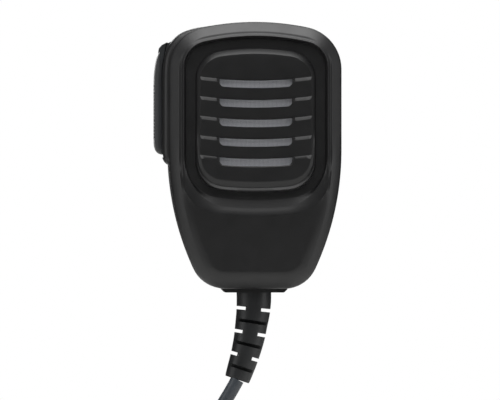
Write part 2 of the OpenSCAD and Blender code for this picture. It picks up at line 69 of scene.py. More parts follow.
# %% [markdown]
# ## Camera
#
# The microphone is seen straight from the front, a touch from its left. A long lens keeps the
# case's sides almost parallel, as in a shop picture. The camera could be placed by eye, but working
# it out from the case's own size keeps it right if the part changes.

# %% Camera
case_low, case_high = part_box("front_case")
parting_y = case_high.y
top_z = case_high.z
bottom_z = case_low.z
view_width = 175.5 * MM
view_distance = 3.0
view_turn = math.radians(-2.5)
aim_left = 1.35 * MM
aim_drop = 62.3 * MM
sensor_width = 36
aim = Vector((-aim_left, parting_y, top_z - aim_drop))

camera_data = bpy.data.cameras.new("camera")
camera_data.sensor_width = sensor_width
camera_data.lens = sensor_width * view_distance / view_width
camera_data.clip_start = 0.01
camera = bpy.data.objects.new("camera", camera_data)
camera.location = aim + view_distance * Vector((math.sin(view_turn), -math.cos(view_turn), 0))
camera.rotation_euler = (aim - camera.location).to_track_quat("-Z", "Y").to_euler()
bpy.context.scene.collection.objects.link(camera)
bpy.context.scene.camera = camera
print("lens:", round(camera_data.lens, 1), "mm")

# %% [markdown]
# ## Meshes from rings
#
# Most pieces here are skins through a row of rings: a case, a strain relief, a cord. One helper
# joins the rings, closes both ends and turns all faces outwards. Edges sharper than a set angle stay
# crisp, and the rest shades as one smooth moulded surface.

# %% Making a mesh
def as_piece(name, points, faces, crisp=32):
    """A closed mesh object from points and faces, with its normals outwards."""
    mesh = bpy.data.meshes.new(name)
    mesh.from_pydata([tuple(map(float, p)) for p in points], [], faces)
    shape = bmesh.new()
    shape.from_mesh(mesh)
    bmesh.ops.recalc_face_normals(shape, faces=shape.faces)
    shape.to_mesh(mesh)
    shape.free()
    piece = bpy.data.objects.new(name, mesh)
    bpy.context.scene.collection.objects.link(piece)
    return soften(piece, crisp)


def soften(piece, crisp=32):
    """Shade smooth, but keep edges that turn more than a number of degrees."""
    for face in piece.data.polygons:
        face.use_smooth = True
    piece.data.set_sharp_from_angle(angle=math.radians(crisp))
    return piece


def skin(name, rings, crisp=32, closed=False):
    """A solid through rings of equal length; closed joins the last ring to the first."""
    count = len(rings[0])
    points = [p for ring in rings for p in ring]
    faces = []
    for k in range(len(rings) if closed else len(rings) - 1):
        here, there = k * count, (k + 1) % len(rings) * count
        for i in range(count):
            j = (i + 1) % count
            faces.append((here + i, here + j, there + j, there + i))
    if not closed:
        faces.append(tuple(range(count)))
        faces.append(tuple(range(len(points) - count, len(points))))
    return as_piece(name, points, faces, crisp)


# %% [markdown]
# ## Cutting and joining
#
# Slots, wells and windows are cut with booleans, because each is a clear tool shape through a
# finished skin. Every modifier is turned into plain mesh at once, so nothing is left live on a piece
# when it is handed on.

# %% Changing a mesh
def bake(piece):
    """Turn a piece and its modifiers into a plain mesh."""
    graph = bpy.context.evaluated_depsgraph_get()
    mesh = bpy.data.meshes.new_from_object(piece.evaluated_get(graph))
    piece.modifiers.clear()
    piece.data = mesh
    mesh.name = piece.name
    return piece


def carve(piece, tools, operation="DIFFERENCE", crisp=32):
    """Cut tools out of a piece, or join them to it, and drop the tools."""
    for tool in tools:
        change = piece.modifiers.new("carve", "BOOLEAN")
        change.operation = operation
        change.solver = "EXACT"
        change.object = tool
        bake(piece)
        bpy.data.objects.remove(tool)
    return soften(piece, crisp)


def flatten_shading(piece):
    """Let large faces set the normals, so that a flat face stays flat up to its small chamfers."""
    change = piece.modifiers.new("weighted", "WEIGHTED_NORMAL")
    change.keep_sharp = True
    change.weight = 80
    return bake(piece)


# %% [markdown]
# ## Simple solids
#
# A few plain shapes come back often: a block, an outline drawn out in depth, a lathe shape and a
# level ring. Their sizes are in millimetres, as on a drawing, and become metres here.

# %% Simple solids
def box(name, low, high):
    """A block between two corners, in millimetres."""
    x, y, z = zip(low, high)
    points = [(x[i] * MM, y[j] * MM, z[k] * MM) for i in (0, 1) for j in (0, 1) for k in (0, 1)]
    faces = [(0, 1, 3, 2), (4, 6, 7, 5), (0, 4, 5, 1), (2, 3, 7, 6), (0, 2, 6, 4), (1, 5, 7, 3)]
    return as_piece(name, points, faces)


def prism(name, outline, front, back):
    """An outline in X and Z, in millimetres, drawn out from one depth to another."""
    rings = [[(x * MM, y * MM, z * MM) for x, z in outline] for y in (front, back)]
    return skin(name, rings)


def turned(name, profile, centre, sides=48, crisp=32):
    """A lathe shape along Y: profile is a list of [radius, y] in millimetres, closed at both ends."""
    turns = [2 * math.pi * i / sides for i in range(sides)]
    rings = [
        [((centre[0] + r * math.cos(a)) * MM, y * MM, (centre[1] + r * math.sin(a)) * MM) for a in turns]
        for r, y in profile
    ]
    return skin(name, rings, crisp)


def level_ring(x, y, z, r, sides):
    """A level circle of points round an upright axis, in millimetres."""
    turns = 2 * np.pi * np.arange(sides) / sides
    return [((x + r * math.cos(a)) * MM, (y + r * math.sin(a)) * MM, z * MM) for a in turns]


# %% [markdown]
# ## Routes and tubes
#
# A cord is a round section carried along a route. The route's points are joined by a
# smooth curve. The section is carried without twisting: each ring keeps the last ring's direction
# as nearly as it can, which is what keeps a helix from wringing its own skin.

# %% Route helpers
def smooth_route(points, steps):
    """A smooth curve through points, with a number of steps from each to the next."""
    p = [np.array(q, float) for q in points]
    p = [2 * p[0] - p[1], *p, 2 * p[-1] - p[-2]]
    route = []
    for k in range(1, len(p) - 2):
        a, b, c, d = p[k - 1:k + 3]
        for t in np.arange(steps) / steps:
            route.append(0.5 * (2 * b + (c - a) * t + (2 * a - 5 * b + 4 * c - d) * t ** 2
                                + (3 * b - a - 3 * c + d) * t ** 3))
    return np.array([*route, p[-2]])


def tube_rings(route, radii, sides):
    """Round rings along a route, carried from one to the next without a twist."""
    along = np.gradient(route, axis=0)
    along /= np.linalg.norm(along, axis=1)[:, None]
    side = np.cross(along[0], (0, 1, 0))
    turns = 2 * np.pi * np.arange(sides) / sides
    rings = []
    for centre, way, r in zip(route, along, radii):
        side = side - way * side.dot(way)
        side /= np.linalg.norm(side)
        other = np.cross(way, side)
        rings.append([centre + r * (math.cos(a) * side + math.sin(a) * other) for a in turns])
    return rings


def length_of(route):
    """How long a route is, in metres."""
    return float(np.linalg.norm(np.diff(route, axis=0), axis=1).sum())


# %% [markdown]
# ## The cord
#
# The cord leaves the strain relief straight, becomes a curly cord, and ends in a modular plug. The
# curly stretch of such a cord is wound on a mandrel and baked, so it stays a helix. It is put away
# as a neat coil of two layers below the microphone, out of the camera's sight. The coil's helix is
# worked out in a loop, 20 points to a turn: a circle carried along the coil's own middle line. At
# both ends it starts small and slowly, over two turns, so the cord runs into it without a kink.

# %% Curly route
cord_d = 4.8 * MM
coil_centre = np.array((-4, -13, -145)) * MM
coil_r = 26 * MM
layer_offset = 7.5 * MM
curl_r = 4.9 * MM
curl_pitch = 5.9 * MM
growing_turns = 2
slow_spin = 0.3


def curly_route(start, crossing, settled, end, points_per_turn=20):
    """The helix along the stored coil. Angles are in degrees, and it changes layer from crossing
    to settled."""
    turns = math.radians(end - start) * coil_r / curl_pitch
    steps = int(turns * points_per_turn)
    route = []
    spin = 0
    for i in range(steps + 1):
        share = i / steps
        angle = math.radians(start + (end - start) * share)
        step = min(max((math.degrees(angle) - crossing) / (settled - crossing), 0), 1)
        lift = layer_offset * (1 - 2 * step * step * (3 - 2 * step))
        out = np.array((math.cos(angle), 0, math.sin(angle)))
        grow = min(1, share * turns / growing_turns, (1 - share) * turns / growing_turns)
        r = curl_r * grow * grow * (3 - 2 * grow)
        spin += 2 * math.pi * turns / steps * (slow_spin + (1 - slow_spin) * grow * grow)
        route.append(coil_centre + out * (coil_r + r * math.cos(spin))
                     + np.array((0, lift + r * math.sin(spin), 0)))
    return np.array(route)


curl = curly_route(start=152, crossing=452, settled=512, end=772)
print("curl points:", len(curl))

# %% [markdown]
# ## The cord's ends
#
# The straight tail from the strain relief and the short lead to the plug are given one by one, a point
# every few millimetres, and joined to the helix by the same smooth curve. All three make one route,
# so the cord is one unbroken skin, and its real length can be measured along it.

# %% Cord
tail_points = [
    (-5.9, -13, -93.3), (-6.8, -13, -95), (-8.5, -12.8, -98), (-10.6, -12.4, -101.5), (-12.9, -11.6, -106),
    (-15.2, -10.3, -111), (-17.6, -8.8, -116), (-20, -7.3, -121), (-22.6, -6.2, -126)
]
plug_points = [
    (8.4, -20.5, -121.9), (4.6, -20.5, -120.6), (0.9, -20.6, -121.1), (-2.1, -20.7, -123.6),
    (-3.7, -20.8, -127), (-4, -20.8, -130.5), (-4, -20.8, -133.5)
]
tail = smooth_route([np.array(p) * MM for p in tail_points] + [curl[0]], 4)
lead = smooth_route([curl[-1]] + [np.array(p) * MM for p in plug_points], 4)
cord_route = np.vstack([tail[:-1], curl, lead[1:]])
cord = skin("cord", tube_rings(cord_route, [cord_d / 2] * len(cord_route), 12), crisp=50)

# %% [markdown]
# ## Building a material
#
# Every finish is a small tree of nodes. Two helpers are enough: one turns an sRGB hex colour into
# the linear values that shaders want, and one adds any node with its settings and its links.
# Patterns read Object coordinates in metres, so a noise grain of 0.3 mm has a scale of 1 / 0.0003. A
# wave pattern is finer at the same scale, and has a rule of its own.

# %% Material helpers
def linear(hex_colour):
    """An sRGB hex colour as linear RGBA."""
    parts = [int(hex_colour[i:i + 2], 16) / 255 for i in (1, 3, 5)]
    return [p / 12.92 if p <= 0.04045 else ((p + 0.055) / 1.055) ** 2.4 for p in parts] + [1]


def add(tree, kind, settings=None, links=None, **properties):
    """Add a node: properties by name, then input values, then links into it."""
    node = tree.nodes.new(kind)
    for key, value in properties.items():
        setattr(node, key, value)
    for key, value in (settings or {}).items():
        node.inputs[key].default_value = value
    for key, source in (links or {}).items():
        tree.links.new(source, node.inputs[key])
    return node


def wave_scale(period_mm):
    """A wave texture repeats every pi / 10 metres at scale 1, so this gives a period in millimetres."""
    return 1000 / period_mm * math.pi / 10


def new_material(name, **shader_values):
    """A material with one Principled shader, and its Object coordinates."""
    material = bpy.data.materials.new(name)
    material.use_nodes = True
    tree = material.node_tree
    tree.nodes.clear()
    values = {key.replace("_", " "): value for key, value in shader_values.items()}
    shader = add(tree, "ShaderNodeBsdfPrincipled", values)
    add(tree, "ShaderNodeOutputMaterial", links={"Surface": shader.outputs[0]})
    place = add(tree, "ShaderNodeTexCoord").outputs["Object"]
    return material, tree, shader, place


# %% [markdown]
# ## Wear and grain
#
# No real surface has one even colour or one even gloss. Three helpers break it up: the colour drifts
# a little over patches, the roughness drifts where hands have polished, and a bump of round grains
# stands for the mould's own texture.

# %% Wear and grain
def tint(tree, shader, place, dark, light, patch_mm, low=0.35, high=0.65):
    """Colour that drifts between two tones over patches of a size in millimetres."""
    patches = add(tree, "ShaderNodeTexNoise", {"Scale": 1000 / patch_mm, "Detail": 4}, {"Vector": place})
    tones = add(tree, "ShaderNodeValToRGB", links={"Fac": patches.outputs["Fac"]})
    tones.color_ramp.elements[0].position = low
    tones.color_ramp.elements[1].position = high
    tones.color_ramp.elements[0].color = linear(dark)
    tones.color_ramp.elements[1].color = linear(light)
    tree.links.new(tones.outputs["Color"], shader.inputs["Base Color"])
    return tones


def handled(tree, shader, place, low, high, patch_mm):
    """Roughness that drifts between two values, as where hands have polished a surface."""
    patches = add(tree, "ShaderNodeTexNoise", {"Scale": 1000 / patch_mm, "Detail": 5}, {"Vector": place})
    limits = {"From Min": 0.3, "From Max": 0.7, "To Min": low, "To Max": high}
    spread = add(tree, "ShaderNodeMapRange", limits, {"Value": patches.outputs["Fac"]})
    tree.links.new(spread.outputs["Result"], shader.inputs["Roughness"])


def grain(tree, shader, place, size_mm, depth_mm, strength=1.0):
    """A bump of round grains with a real size and depth in millimetres."""
    spots = add(tree, "ShaderNodeTexNoise", {"Scale": 1000 / size_mm, "Detail": 2}, {"Vector": place})
    bump = add(tree, "ShaderNodeBump", {"Strength": strength, "Distance": depth_mm * MM},
               {"Height": spots.outputs["Fac"]})
    tree.links.new(bump.outputs["Normal"], shader.inputs["Normal"])
    return bump


# %% [markdown]
# ## Moulded plastics and rubbers
#
# The case is black ABS from a spark-eroded mould. Its matt texture is a field of tiny craters about
# 0.1 mm across, drawn here at 0.35 mm so that it shows. It scatters highlights into soft bands, and
# hands polish it unevenly. The push-to-talk cover is a soft-touch elastomer: bluer, softer, with a
# little sheen. The strain relief and the cord are flexible PVC, which is smoother and cooler in
# tone. Plain small mouldings inside, of nylon, acetal and epoxy, share one recipe.

# %% Plastics
def moulded(name, dark, light, rough, grain_mm, depth_mm, patch_mm=9, **shader_values):
    """A moulded plastic: two tones, two roughness values, and its grain's size and depth."""
    material, tree, shader, place = new_material(name, **shader_values)
    tint(tree, shader, place, dark, light, patch_mm)
    handled(tree, shader, place, rough[0], rough[1], patch_mm * 0.6)
    grain(tree, shader, place, grain_mm, depth_mm)
    return material


spark_eroded_abs = moulded("spark_eroded_black_abs", "#0e0e0f", "#111112", (0.42, 0.48), 0.35, 0.012,
                           IOR=1.54)
soft_touch = moulded("soft_touch_elastomer", "#16191c", "#1b1f22", (0.5, 0.6), 0.3, 0.01, IOR=1.5,
                     Sheen_Weight=0.25, Sheen_Roughness=0.5)
relief_pvc = moulded("moulded_pvc", "#0e1012", "#131517", (0.42, 0.52), 0.5, 0.008, IOR=1.53)
jacket_pvc = moulded("extruded_pvc_jacket", "#363b40", "#42474d", (0.34, 0.46), 0.8, 0.006, IOR=1.53)
inner_abs = moulded("plain_black_abs", "#161616", "#1b1b1b", (0.3, 0.4), 0.6, 0.003, IOR=1.54)
boot_rubber = moulded("moulded_nitrile_rubber", "#0f0f10", "#151516", (0.7, 0.8), 0.4, 0.01, IOR=1.52)
natural_nylon = moulded("natural_nylon", "#d6cfb8", "#e2dcc8", (0.4, 0.5), 0.5, 0.004, IOR=1.53)
natural_acetal = moulded("natural_acetal", "#d8d4c8", "#e4e1d8", (0.35, 0.42), 0.5, 0.003, IOR=1.48)
epoxy_moulding = moulded("moulded_epoxy", "#131314", "#18181a", (0.55, 0.65), 0.15, 0.006, IOR=1.55)
shrink_sleeve = moulded("pvc_shrink_sleeve", "#1a2148", "#222b58", (0.2, 0.3), 2, 0.004, IOR=1.53)
wire_insulation = moulded("silicone_wire_insulation", "#8e1f19", "#9c2820", (0.4, 0.5), 0.8, 0.004, IOR=1.42)
print("plastics made")

# %% [markdown]
# ## Metals, board, cloth and clear plastic
#
# The screws and the pin are zinc-plated steel and the hang-up button is turned and nickel-plated, so
# fine rings run round its axis. The label plate is brushed aluminium: streaks along X come from
# noise that is stretched in that direction. The acoustic cloth is a tight plain weave of polyester
# thread, about 0.3 mm apart and drawn at 0.45 mm so that it shows. The straps are a coarser weave.

# %% Metal and weave helpers
tool_mark_mm = 0.25


def plated(name, dark, light, rough, streak, depth_mm=0.002):
    """A metal whose fine tool marks are noise stretched by a factor for each axis."""
    material, tree, shader, place = new_material(name, Metallic=1.0)
    tint(tree, shader, place, dark, light, 3)
    stretched = add(tree, "ShaderNodeMapping", {"Scale": streak}, {"Vector": place})
    marks = add(tree, "ShaderNodeTexNoise", {"Scale": 1000 / tool_mark_mm, "Detail": 3},
                {"Vector": stretched.outputs[0]})
    spread = add(tree, "ShaderNodeMapRange", {"To Min": rough[0], "To Max": rough[1]},
                 {"Value": marks.outputs["Fac"]})
    tree.links.new(spread.outputs["Result"], shader.inputs["Roughness"])
    bump = add(tree, "ShaderNodeBump", {"Distance": depth_mm * MM}, {"Height": marks.outputs["Fac"]})
    tree.links.new(bump.outputs["Normal"], shader.inputs["Normal"])
    return material


def turned_metal(name, dark, light, rough, ring_mm):
    """A metal with lathe rings round the Y axis through the origin."""
    material, tree, shader, place = new_material(name, Metallic=1.0)
    tint(tree, shader, place, dark, light, 4)
    rings = add(tree, "ShaderNodeTexWave", {"Scale": wave_scale(ring_mm), "Distortion": 0.4},
                {"Vector": place}, wave_type="RINGS", rings_direction="Y")
    spread = add(tree, "ShaderNodeMapRange", {"To Min": rough[0], "To Max": rough[1]},
                 {"Value": rings.outputs["Fac"]})
    tree.links.new(spread.outputs["Result"], shader.inputs["Roughness"])
    bump = add(tree, "ShaderNodeBump", {"Distance": 0.004 * MM}, {"Height": rings.outputs["Fac"]})
    tree.links.new(bump.outputs["Normal"], shader.inputs["Normal"])
    return material


def woven(name, dark, light, thread_mm, depth_mm, rough):
    """A plain weave in X and Z: two crossing waves, one thread apart."""
    material, tree, shader, place = new_material(name, Roughness=rough, Sheen_Weight=0.4, Sheen_Roughness=0.5)
    settings = {"Scale": wave_scale(thread_mm), "Distortion": 2.5, "Detail": 2}
    waves = [
        add(tree, "ShaderNodeTexWave", settings, {"Vector": place}, bands_direction=way).outputs["Fac"]
        for way in ("X", "Z")
    ]
    weave = add(tree, "ShaderNodeMath", operation="MULTIPLY", links={0: waves[0], 1: waves[1]}).outputs[0]
    tones = add(tree, "ShaderNodeValToRGB", links={"Fac": weave})
    tones.color_ramp.elements[0].color = linear(dark)
    tones.color_ramp.elements[1].position = 0.6
    tones.color_ramp.elements[1].color = linear(light)
    tree.links.new(tones.outputs["Color"], shader.inputs["Base Color"])
    bump = add(tree, "ShaderNodeBump", {"Distance": depth_mm * MM}, {"Height": weave})
    tree.links.new(bump.outputs["Normal"], shader.inputs["Normal"])
    return material


# %% [markdown]
# ## The metal, cloth, plug and board finishes
#
# With the helpers, each finish is one line: its name, its two tones, its roughness and its marks. The
# plug is injection-moulded clear polycarbonate, which lets light through and bends it more than
# glass does. The circuit board is green solder mask, whose tone changes sharply over copper tracks.

# %% Metals, weaves, plug and board
zinc_steel = plated("zinc_plated_steel", "#9a9a98", "#b4b4b0", (0.28, 0.42), (1, 1, 1))
spring_steel = plated("spring_steel_wire", "#8a8a88", "#a2a29e", (0.3, 0.45), (1, 6, 1))
brushed_aluminium = plated("brushed_aluminium", "#a2a3a4", "#acadae", (0.4, 0.46), (0.05, 1, 1), 0.001)
turned_aluminium = plated("turned_aluminium", "#b8b8b6", "#c9c9c6", (0.25, 0.35), (1, 1, 1))
gold_plate = plated("gold_plate", "#d3a548", "#e0b95c", (0.18, 0.28), (1, 1, 0.2))
nickel_plate = turned_metal("turned_nickel_plate", "#b9b6ae", "#c9c6be", (0.16, 0.3), 0.25)
acoustic_cloth = woven("woven_polyester_cloth", "#b4b6be", "#f0f1f5", 0.45, 0.05, 0.8)
hook_and_loop = woven("hook_and_loop_strap", "#0b0b0c", "#1b1b1d", 0.7, 0.2, 0.9)

clear_polycarbonate, tree, shader, place = new_material(
    "clear_polycarbonate", Roughness=0.08, IOR=1.58, Transmission_Weight=0.9)
tint(tree, shader, place, "#dfe5e8", "#eef1f2", 6)
grain(tree, shader, place, 3, 0.01)

solder_mask, tree, shader, place = new_material("green_solder_mask", Roughness=0.35, IOR=1.5)
tint(tree, shader, place, "#14502a", "#1d6a38", 4, 0.45, 0.5)
grain(tree, shader, place, 1.2, 0.02)
print("materials:", len(bpy.data.materials))

# %% [markdown]
# ## The case's outline
#
# The case's front view is built from four arcs a side: a shallow one on top, a round corner, a long
# one where the side draws in, and a small foot. Each arc's centre follows from the sizes, so the
# arcs meet without a kink. The grille's frame and panel have bowed ends and round corners of the
# same family. For a clean skin, all outlines are then read along the same rays from one centre.

# %% Arcs and rays
half_width = case_high.x / MM
top = top_z / MM
bottom = bottom_z / MM
parting = parting_y / MM
ray_count = 240
rays = 2 * np.pi * np.arange(ray_count) / ray_count
ray_centre = np.array((0, -10.0))


def arc(x, z, r, start, end, steps=40):
    """Points along an arc, with angles in degrees."""
    angles = np.radians(np.linspace(start, end, steps))
    return np.stack([x + r * np.cos(angles), z + r * np.sin(angles)], axis=1)


def along_rays(half):
    """A closed outline, from its right half, read along the shared rays."""
    loop = np.vstack([half, half[::-1] * (-1, 1)]) - ray_centre
    ahead = np.roll(loop, -1, axis=0)
    loop = np.vstack([loop + (ahead - loop) * share for share in np.arange(30) / 30])
    angle = np.arctan2(loop[:, 1], loop[:, 0]) % (2 * np.pi)
    order = np.argsort(angle)
    radius = np.linalg.norm(loop, axis=1)
    r = np.interp(rays, angle[order], radius[order], period=2 * np.pi)
    return ray_centre + r[:, None] * np.stack([np.cos(rays), np.sin(rays)], axis=1)


# %% [markdown]
# ## The case and the panel
#
# Two outlines serve every ring of both shells: the case's own, moved inwards by any amount, and a
# panel's. Moving an outline inwards only shortens the arcs' radii, so it stays as smooth as it was.

# %% Outlines
top_r, corner_r, side_r, foot_r, side_z = 90, 15, 99, 12, -13


def case_outline(inset):
    """The case's outline, moved inwards by a number of millimetres."""
    corner_x = half_width - corner_r
    corner_z = top - top_r + math.sqrt((top_r - corner_r) ** 2 - corner_x ** 2)
    side_x = half_width - side_r
    foot_z = bottom + foot_r
    foot_x = side_x + math.sqrt((side_r - foot_r) ** 2 - (side_z - foot_z) ** 2)
    corner_turn = math.degrees(math.atan2(corner_z - top + top_r, corner_x))
    foot_turn = math.degrees(math.atan2(foot_z - side_z, foot_x - side_x))
    return along_rays(np.vstack([
        arc(0, top - top_r, top_r - inset, 90, corner_turn),
        arc(corner_x, corner_z, corner_r - inset, corner_turn, 0),
        arc(side_x, side_z, side_r - inset, 0, foot_turn),
        arc(foot_x, foot_z, foot_r - inset, foot_turn, -90)
    ]))


def panel_outline(width, high, low, r_high, r_low, bow_high=83, bow_low=110):
    """A panel with bowed ends: half its width, its ends and its corner radii."""
    x_high, x_low = width - r_high, width - r_low
    z_high = high - bow_high + math.sqrt((bow_high - r_high) ** 2 - x_high ** 2)
    z_low = low + bow_low - math.sqrt((bow_low - r_low) ** 2 - x_low ** 2)
    turn_high = math.degrees(math.atan2(z_high - high + bow_high, x_high))
    turn_low = math.degrees(math.atan2(z_low - low - bow_low, x_low))
    return along_rays(np.vstack([
        arc(0, high - bow_high, bow_high, 90, turn_high),
        arc(x_high, z_high, r_high, turn_high, 0),
        arc(x_low, z_low, r_low, 0, turn_low),
        arc(0, low + bow_low, bow_low, turn_low, -90)
    ]))


# %% [markdown]
# ## Putting an outline at a depth
#
# Seen from the side, the case is thinner at its foot than at its head. So a ring isn't flat: below a
# certain height it falls back towards the parting line, by a share of its own depth that grows
# smoothly. The front loses a fifth of its depth in this way and the back nearly a quarter.

# %% Depths
taper_z = -10
taper_power = 1.5
front_taper, back_taper = 0.2, 0.24


def fade(heights, start, full):
    """A share that is 0 up to one height, 1 from another, and even between them."""
    return np.clip((heights - start) / (full - start), 0, 1)


def tapered(outline, y, taper):
    """Put an outline at a depth. The case loses part of its depth towards its foot."""
    fall = fade(outline[:, 1], taper_z, bottom) ** taper_power
    depth = parting + (y - parting) * (1 - taper * fall)
    return np.stack([outline[:, 0], depth, outline[:, 1]], axis=1) * MM


def between(a, b, shares):
    """Outlines between two others."""
    return [a + (b - a) * share for share in shares]


print("case:", round(2 * half_width, 1), "mm wide,", round(top - bottom, 1), "mm high")

# %% [markdown]
# ## Repeats with Geometry Nodes
#
# Two small node trees make what repeats. One sets copies of a shape in a row, which gives the sound
# slots, their side ledges and the grip ribs. The other puts a copy on every point of a mesh, which
# gives the screws. Both have named inputs and end by making the copies real and giving them a
# material, so a plain mesh can be baked from them.

# %% Two node trees
def new_tree(name, inputs):
    """An empty Geometry Nodes tree with named inputs, and the identifier of each."""
    tree = bpy.data.node_groups.new(name, "GeometryNodeTree")
    tree.interface.new_socket("Geometry", in_out="INPUT", socket_type="NodeSocketGeometry")
    tree.interface.new_socket("Geometry", in_out="OUTPUT", socket_type="NodeSocketGeometry")
    keys = {}
    for label, kind in inputs.items():
        socket = tree.interface.new_socket(label, in_out="INPUT", socket_type=kind)
        keys[label] = socket.identifier
    return tree, keys


def finish_tree(tree, start, copies):
    """Make copies real, give them the material and send them out."""
    real = add(tree, "GeometryNodeRealizeInstances", links={0: copies})
    painted = add(tree, "GeometryNodeSetMaterial", links={
        0: real.outputs[0], "Material": start.outputs["Material"]})
    add(tree, "NodeGroupOutput", links={0: painted.outputs[0]})


row_tree, row_keys = new_tree("copies_in_a_row", {
    "Count": "NodeSocketInt", "Step": "NodeSocketVector", "Material": "NodeSocketMaterial"})
start = add(row_tree, "NodeGroupInput")
line = add(row_tree, "GeometryNodeMeshLine", links={
    "Count": start.outputs["Count"], "Offset": start.outputs["Step"]})
copies = add(row_tree, "GeometryNodeInstanceOnPoints", links={
    "Points": line.outputs[0], "Instance": start.outputs[0]})
finish_tree(row_tree, start, copies.outputs[0])

place_tree, place_keys = new_tree("copies_on_places", {
    "Shape": "NodeSocketObject", "Turn": "NodeSocketFloat", "Seed": "NodeSocketInt",
    "Material": "NodeSocketMaterial"})
start = add(place_tree, "NodeGroupInput")
shape = add(place_tree, "GeometryNodeObjectInfo", links={"Object": start.outputs["Shape"]})
turn = add(place_tree, "FunctionNodeRandomValue", links={
    "Max": start.outputs["Turn"], "Seed": start.outputs["Seed"]})
way = add(place_tree, "ShaderNodeCombineXYZ", links={"Y": turn.outputs[1]})
copies = add(place_tree, "GeometryNodeInstanceOnPoints", links={
    "Points": start.outputs[0], "Instance": shape.outputs["Geometry"], "Rotation": way.outputs[0]})
finish_tree(place_tree, start, copies.outputs[0])


print("node trees:", row_tree.name, "and", place_tree.name)

# %% [markdown]
# ## Using the trees
#
# A modifier's inputs are set by their sockets' identifiers before Blender first evaluates it, and the
# result is baked at once. A last helper gives each finished piece its material, the body that it
# moves with and the imported nodes that it stands for.

# %% Repeat and dress
def in_a_row(piece, count, step, material=None):
    """Repeat a piece count times, each a step further, in millimetres."""
    change = piece.modifiers.new("row", "NODES")
    change.node_group = row_tree
    change[row_keys["Count"]] = count
    change[row_keys["Step"]] = [s * MM for s in step]
    change[row_keys["Material"]] = material
    return bake(piece)


def on_places(name, shape, places, material, turn=math.pi, seed=3):
    """Put a shape on every place, each turned about Y by chance, and drop the shape."""
    mesh = bpy.data.meshes.new(name)
    mesh.from_pydata([tuple(c * MM for c in place) for place in places], [], [])
    piece = bpy.data.objects.new(name, mesh)
    bpy.context.scene.collection.objects.link(piece)
    change = piece.modifiers.new("places", "NODES")
    change.node_group = place_tree
    change[place_keys["Shape"]] = shape
    change[place_keys["Turn"]] = turn
    change[place_keys["Seed"]] = seed
    change[place_keys["Material"]] = material
    bake(piece)
    bpy.data.objects.remove(shape)
    return soften(piece)


def dress(piece, material, body, slot, *replaced):
    """Give a piece its finish, its body and the nodes that it stands for."""
    piece.data.materials.clear()
    piece.data.materials.append(material)
    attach(piece, body)
    if replaced:
        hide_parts(*replaced)
    print(piece.name + ":", len(piece.data.polygons), "faces")
    return piece


# %% [markdown]
# ## Front case: the raised panel
#
# The front is one moulding: a rounded bevel all round, a sunken frame, and a raised panel with a
# chamfer. It could be blocks joined by booleans, but then every edge would need a fillet. So its skin
# is a row of rings, from the middle of the panel out to the parting line and back over the inner
# wall, which also gives the shell a real thickness. The first rings are the panel's face and its
# chamfer. Low on the panel the chamfer ends in a fine bead, which catches the light from above.

# %% Raised panel
front_face = -27.0
panel_face = case_low.y / MM
boss_sides = [(-0.06, 0, 0), (0.05, 0.06, 0.06), (0.14, 0.22, 0.2), (0.5, 0.92, 0.75), (0.6, 1.12, 0.88),
              (0.66, 1.24, 0.9), (0.88, 1.66, 0.5), (0.93, 1.75, 0.48), (0.97, 1.83, 0.64), (1.0, 2.0, 1.1)]


def boss_edge(grow):
    """The foot of the raised panel, grown by a number of millimetres."""
    return panel_outline(20.7 + grow, 22.6 + grow, -27.4 - grow, 10, 10)


boss_top = panel_outline(19.1, 20.7, -23.9, 8, 8)
boss_foot = boss_edge(0)
bead = fade(boss_foot[:, 1], -6, -20)
panel_rings = [tapered(ray_centre + (boss_top - ray_centre) * 0.97, panel_face, 0)]
for share, plain, beaded in boss_sides:
    outline = boss_top + (boss_foot - boss_top) * share
    panel_rings.append(tapered(outline, panel_face + plain + (beaded - plain) * bead, 0))
print("panel rings:", len(panel_rings))

# %% [markdown]
# ## Front case: the sunken frame
#
# Round the panel lies a sunken floor, half a millimetre deeper at its foot. From it a steep wall with
# a small fillet climbs to the rim. Round the grille the rim is a crisp raised lip, and below the
# grille it is only a soft fold into the face. Each ring of the rim is therefore worked out for both,
# and blended between them by height.

# %% Sunken frame
frame_floor = -25.0
floor_dip = 0.5
rim = [(0, 0.35, -1.6, 0.82), (0.08, 0.08, -1.0, 0.56), (0.18, -0.06, -0.5, 0.37), (0.28, -0.1, -0.1, 0.24),
       (0.38, -0.05, 0.3, 0.13), (0.48, 0.08, 0.6, 0.06), (0.98, 0.8, 0.8, 0.02), (1.06, 0.9, 0.95, 0),
       (1.14, 0.96, 1.1, 0)]


def dipped(ring):
    """The sunken frame gets deeper towards its foot."""
    dip = fade(ring[:, 2] / MM, -14, -26) * floor_dip
    return ring + np.stack([0 * dip, dip, 0 * dip], axis=1) * MM


def frame_edge(grow):
    """The frame's outer edge, grown by a number of millimetres."""
    return panel_outline(24.95 + grow, 26.8 + grow, -34.9 - grow, 9, 14)


def rim_ring(lip_grow, lip_sink, low_grow, low_sink):
    """A ring of the rim: how far it is grown and sunk at the lip, and at the soft fold."""
    lipped, soft = frame_edge(lip_grow), frame_edge(low_grow)
    share = fade(soft[:, 1], -27, -14)
    share = share * share * (3 - 2 * share)
    outline = soft + (lipped - soft) * share[:, None]
    return tapered(outline, front_face + low_sink + (lip_sink - low_sink) * share, front_taper)


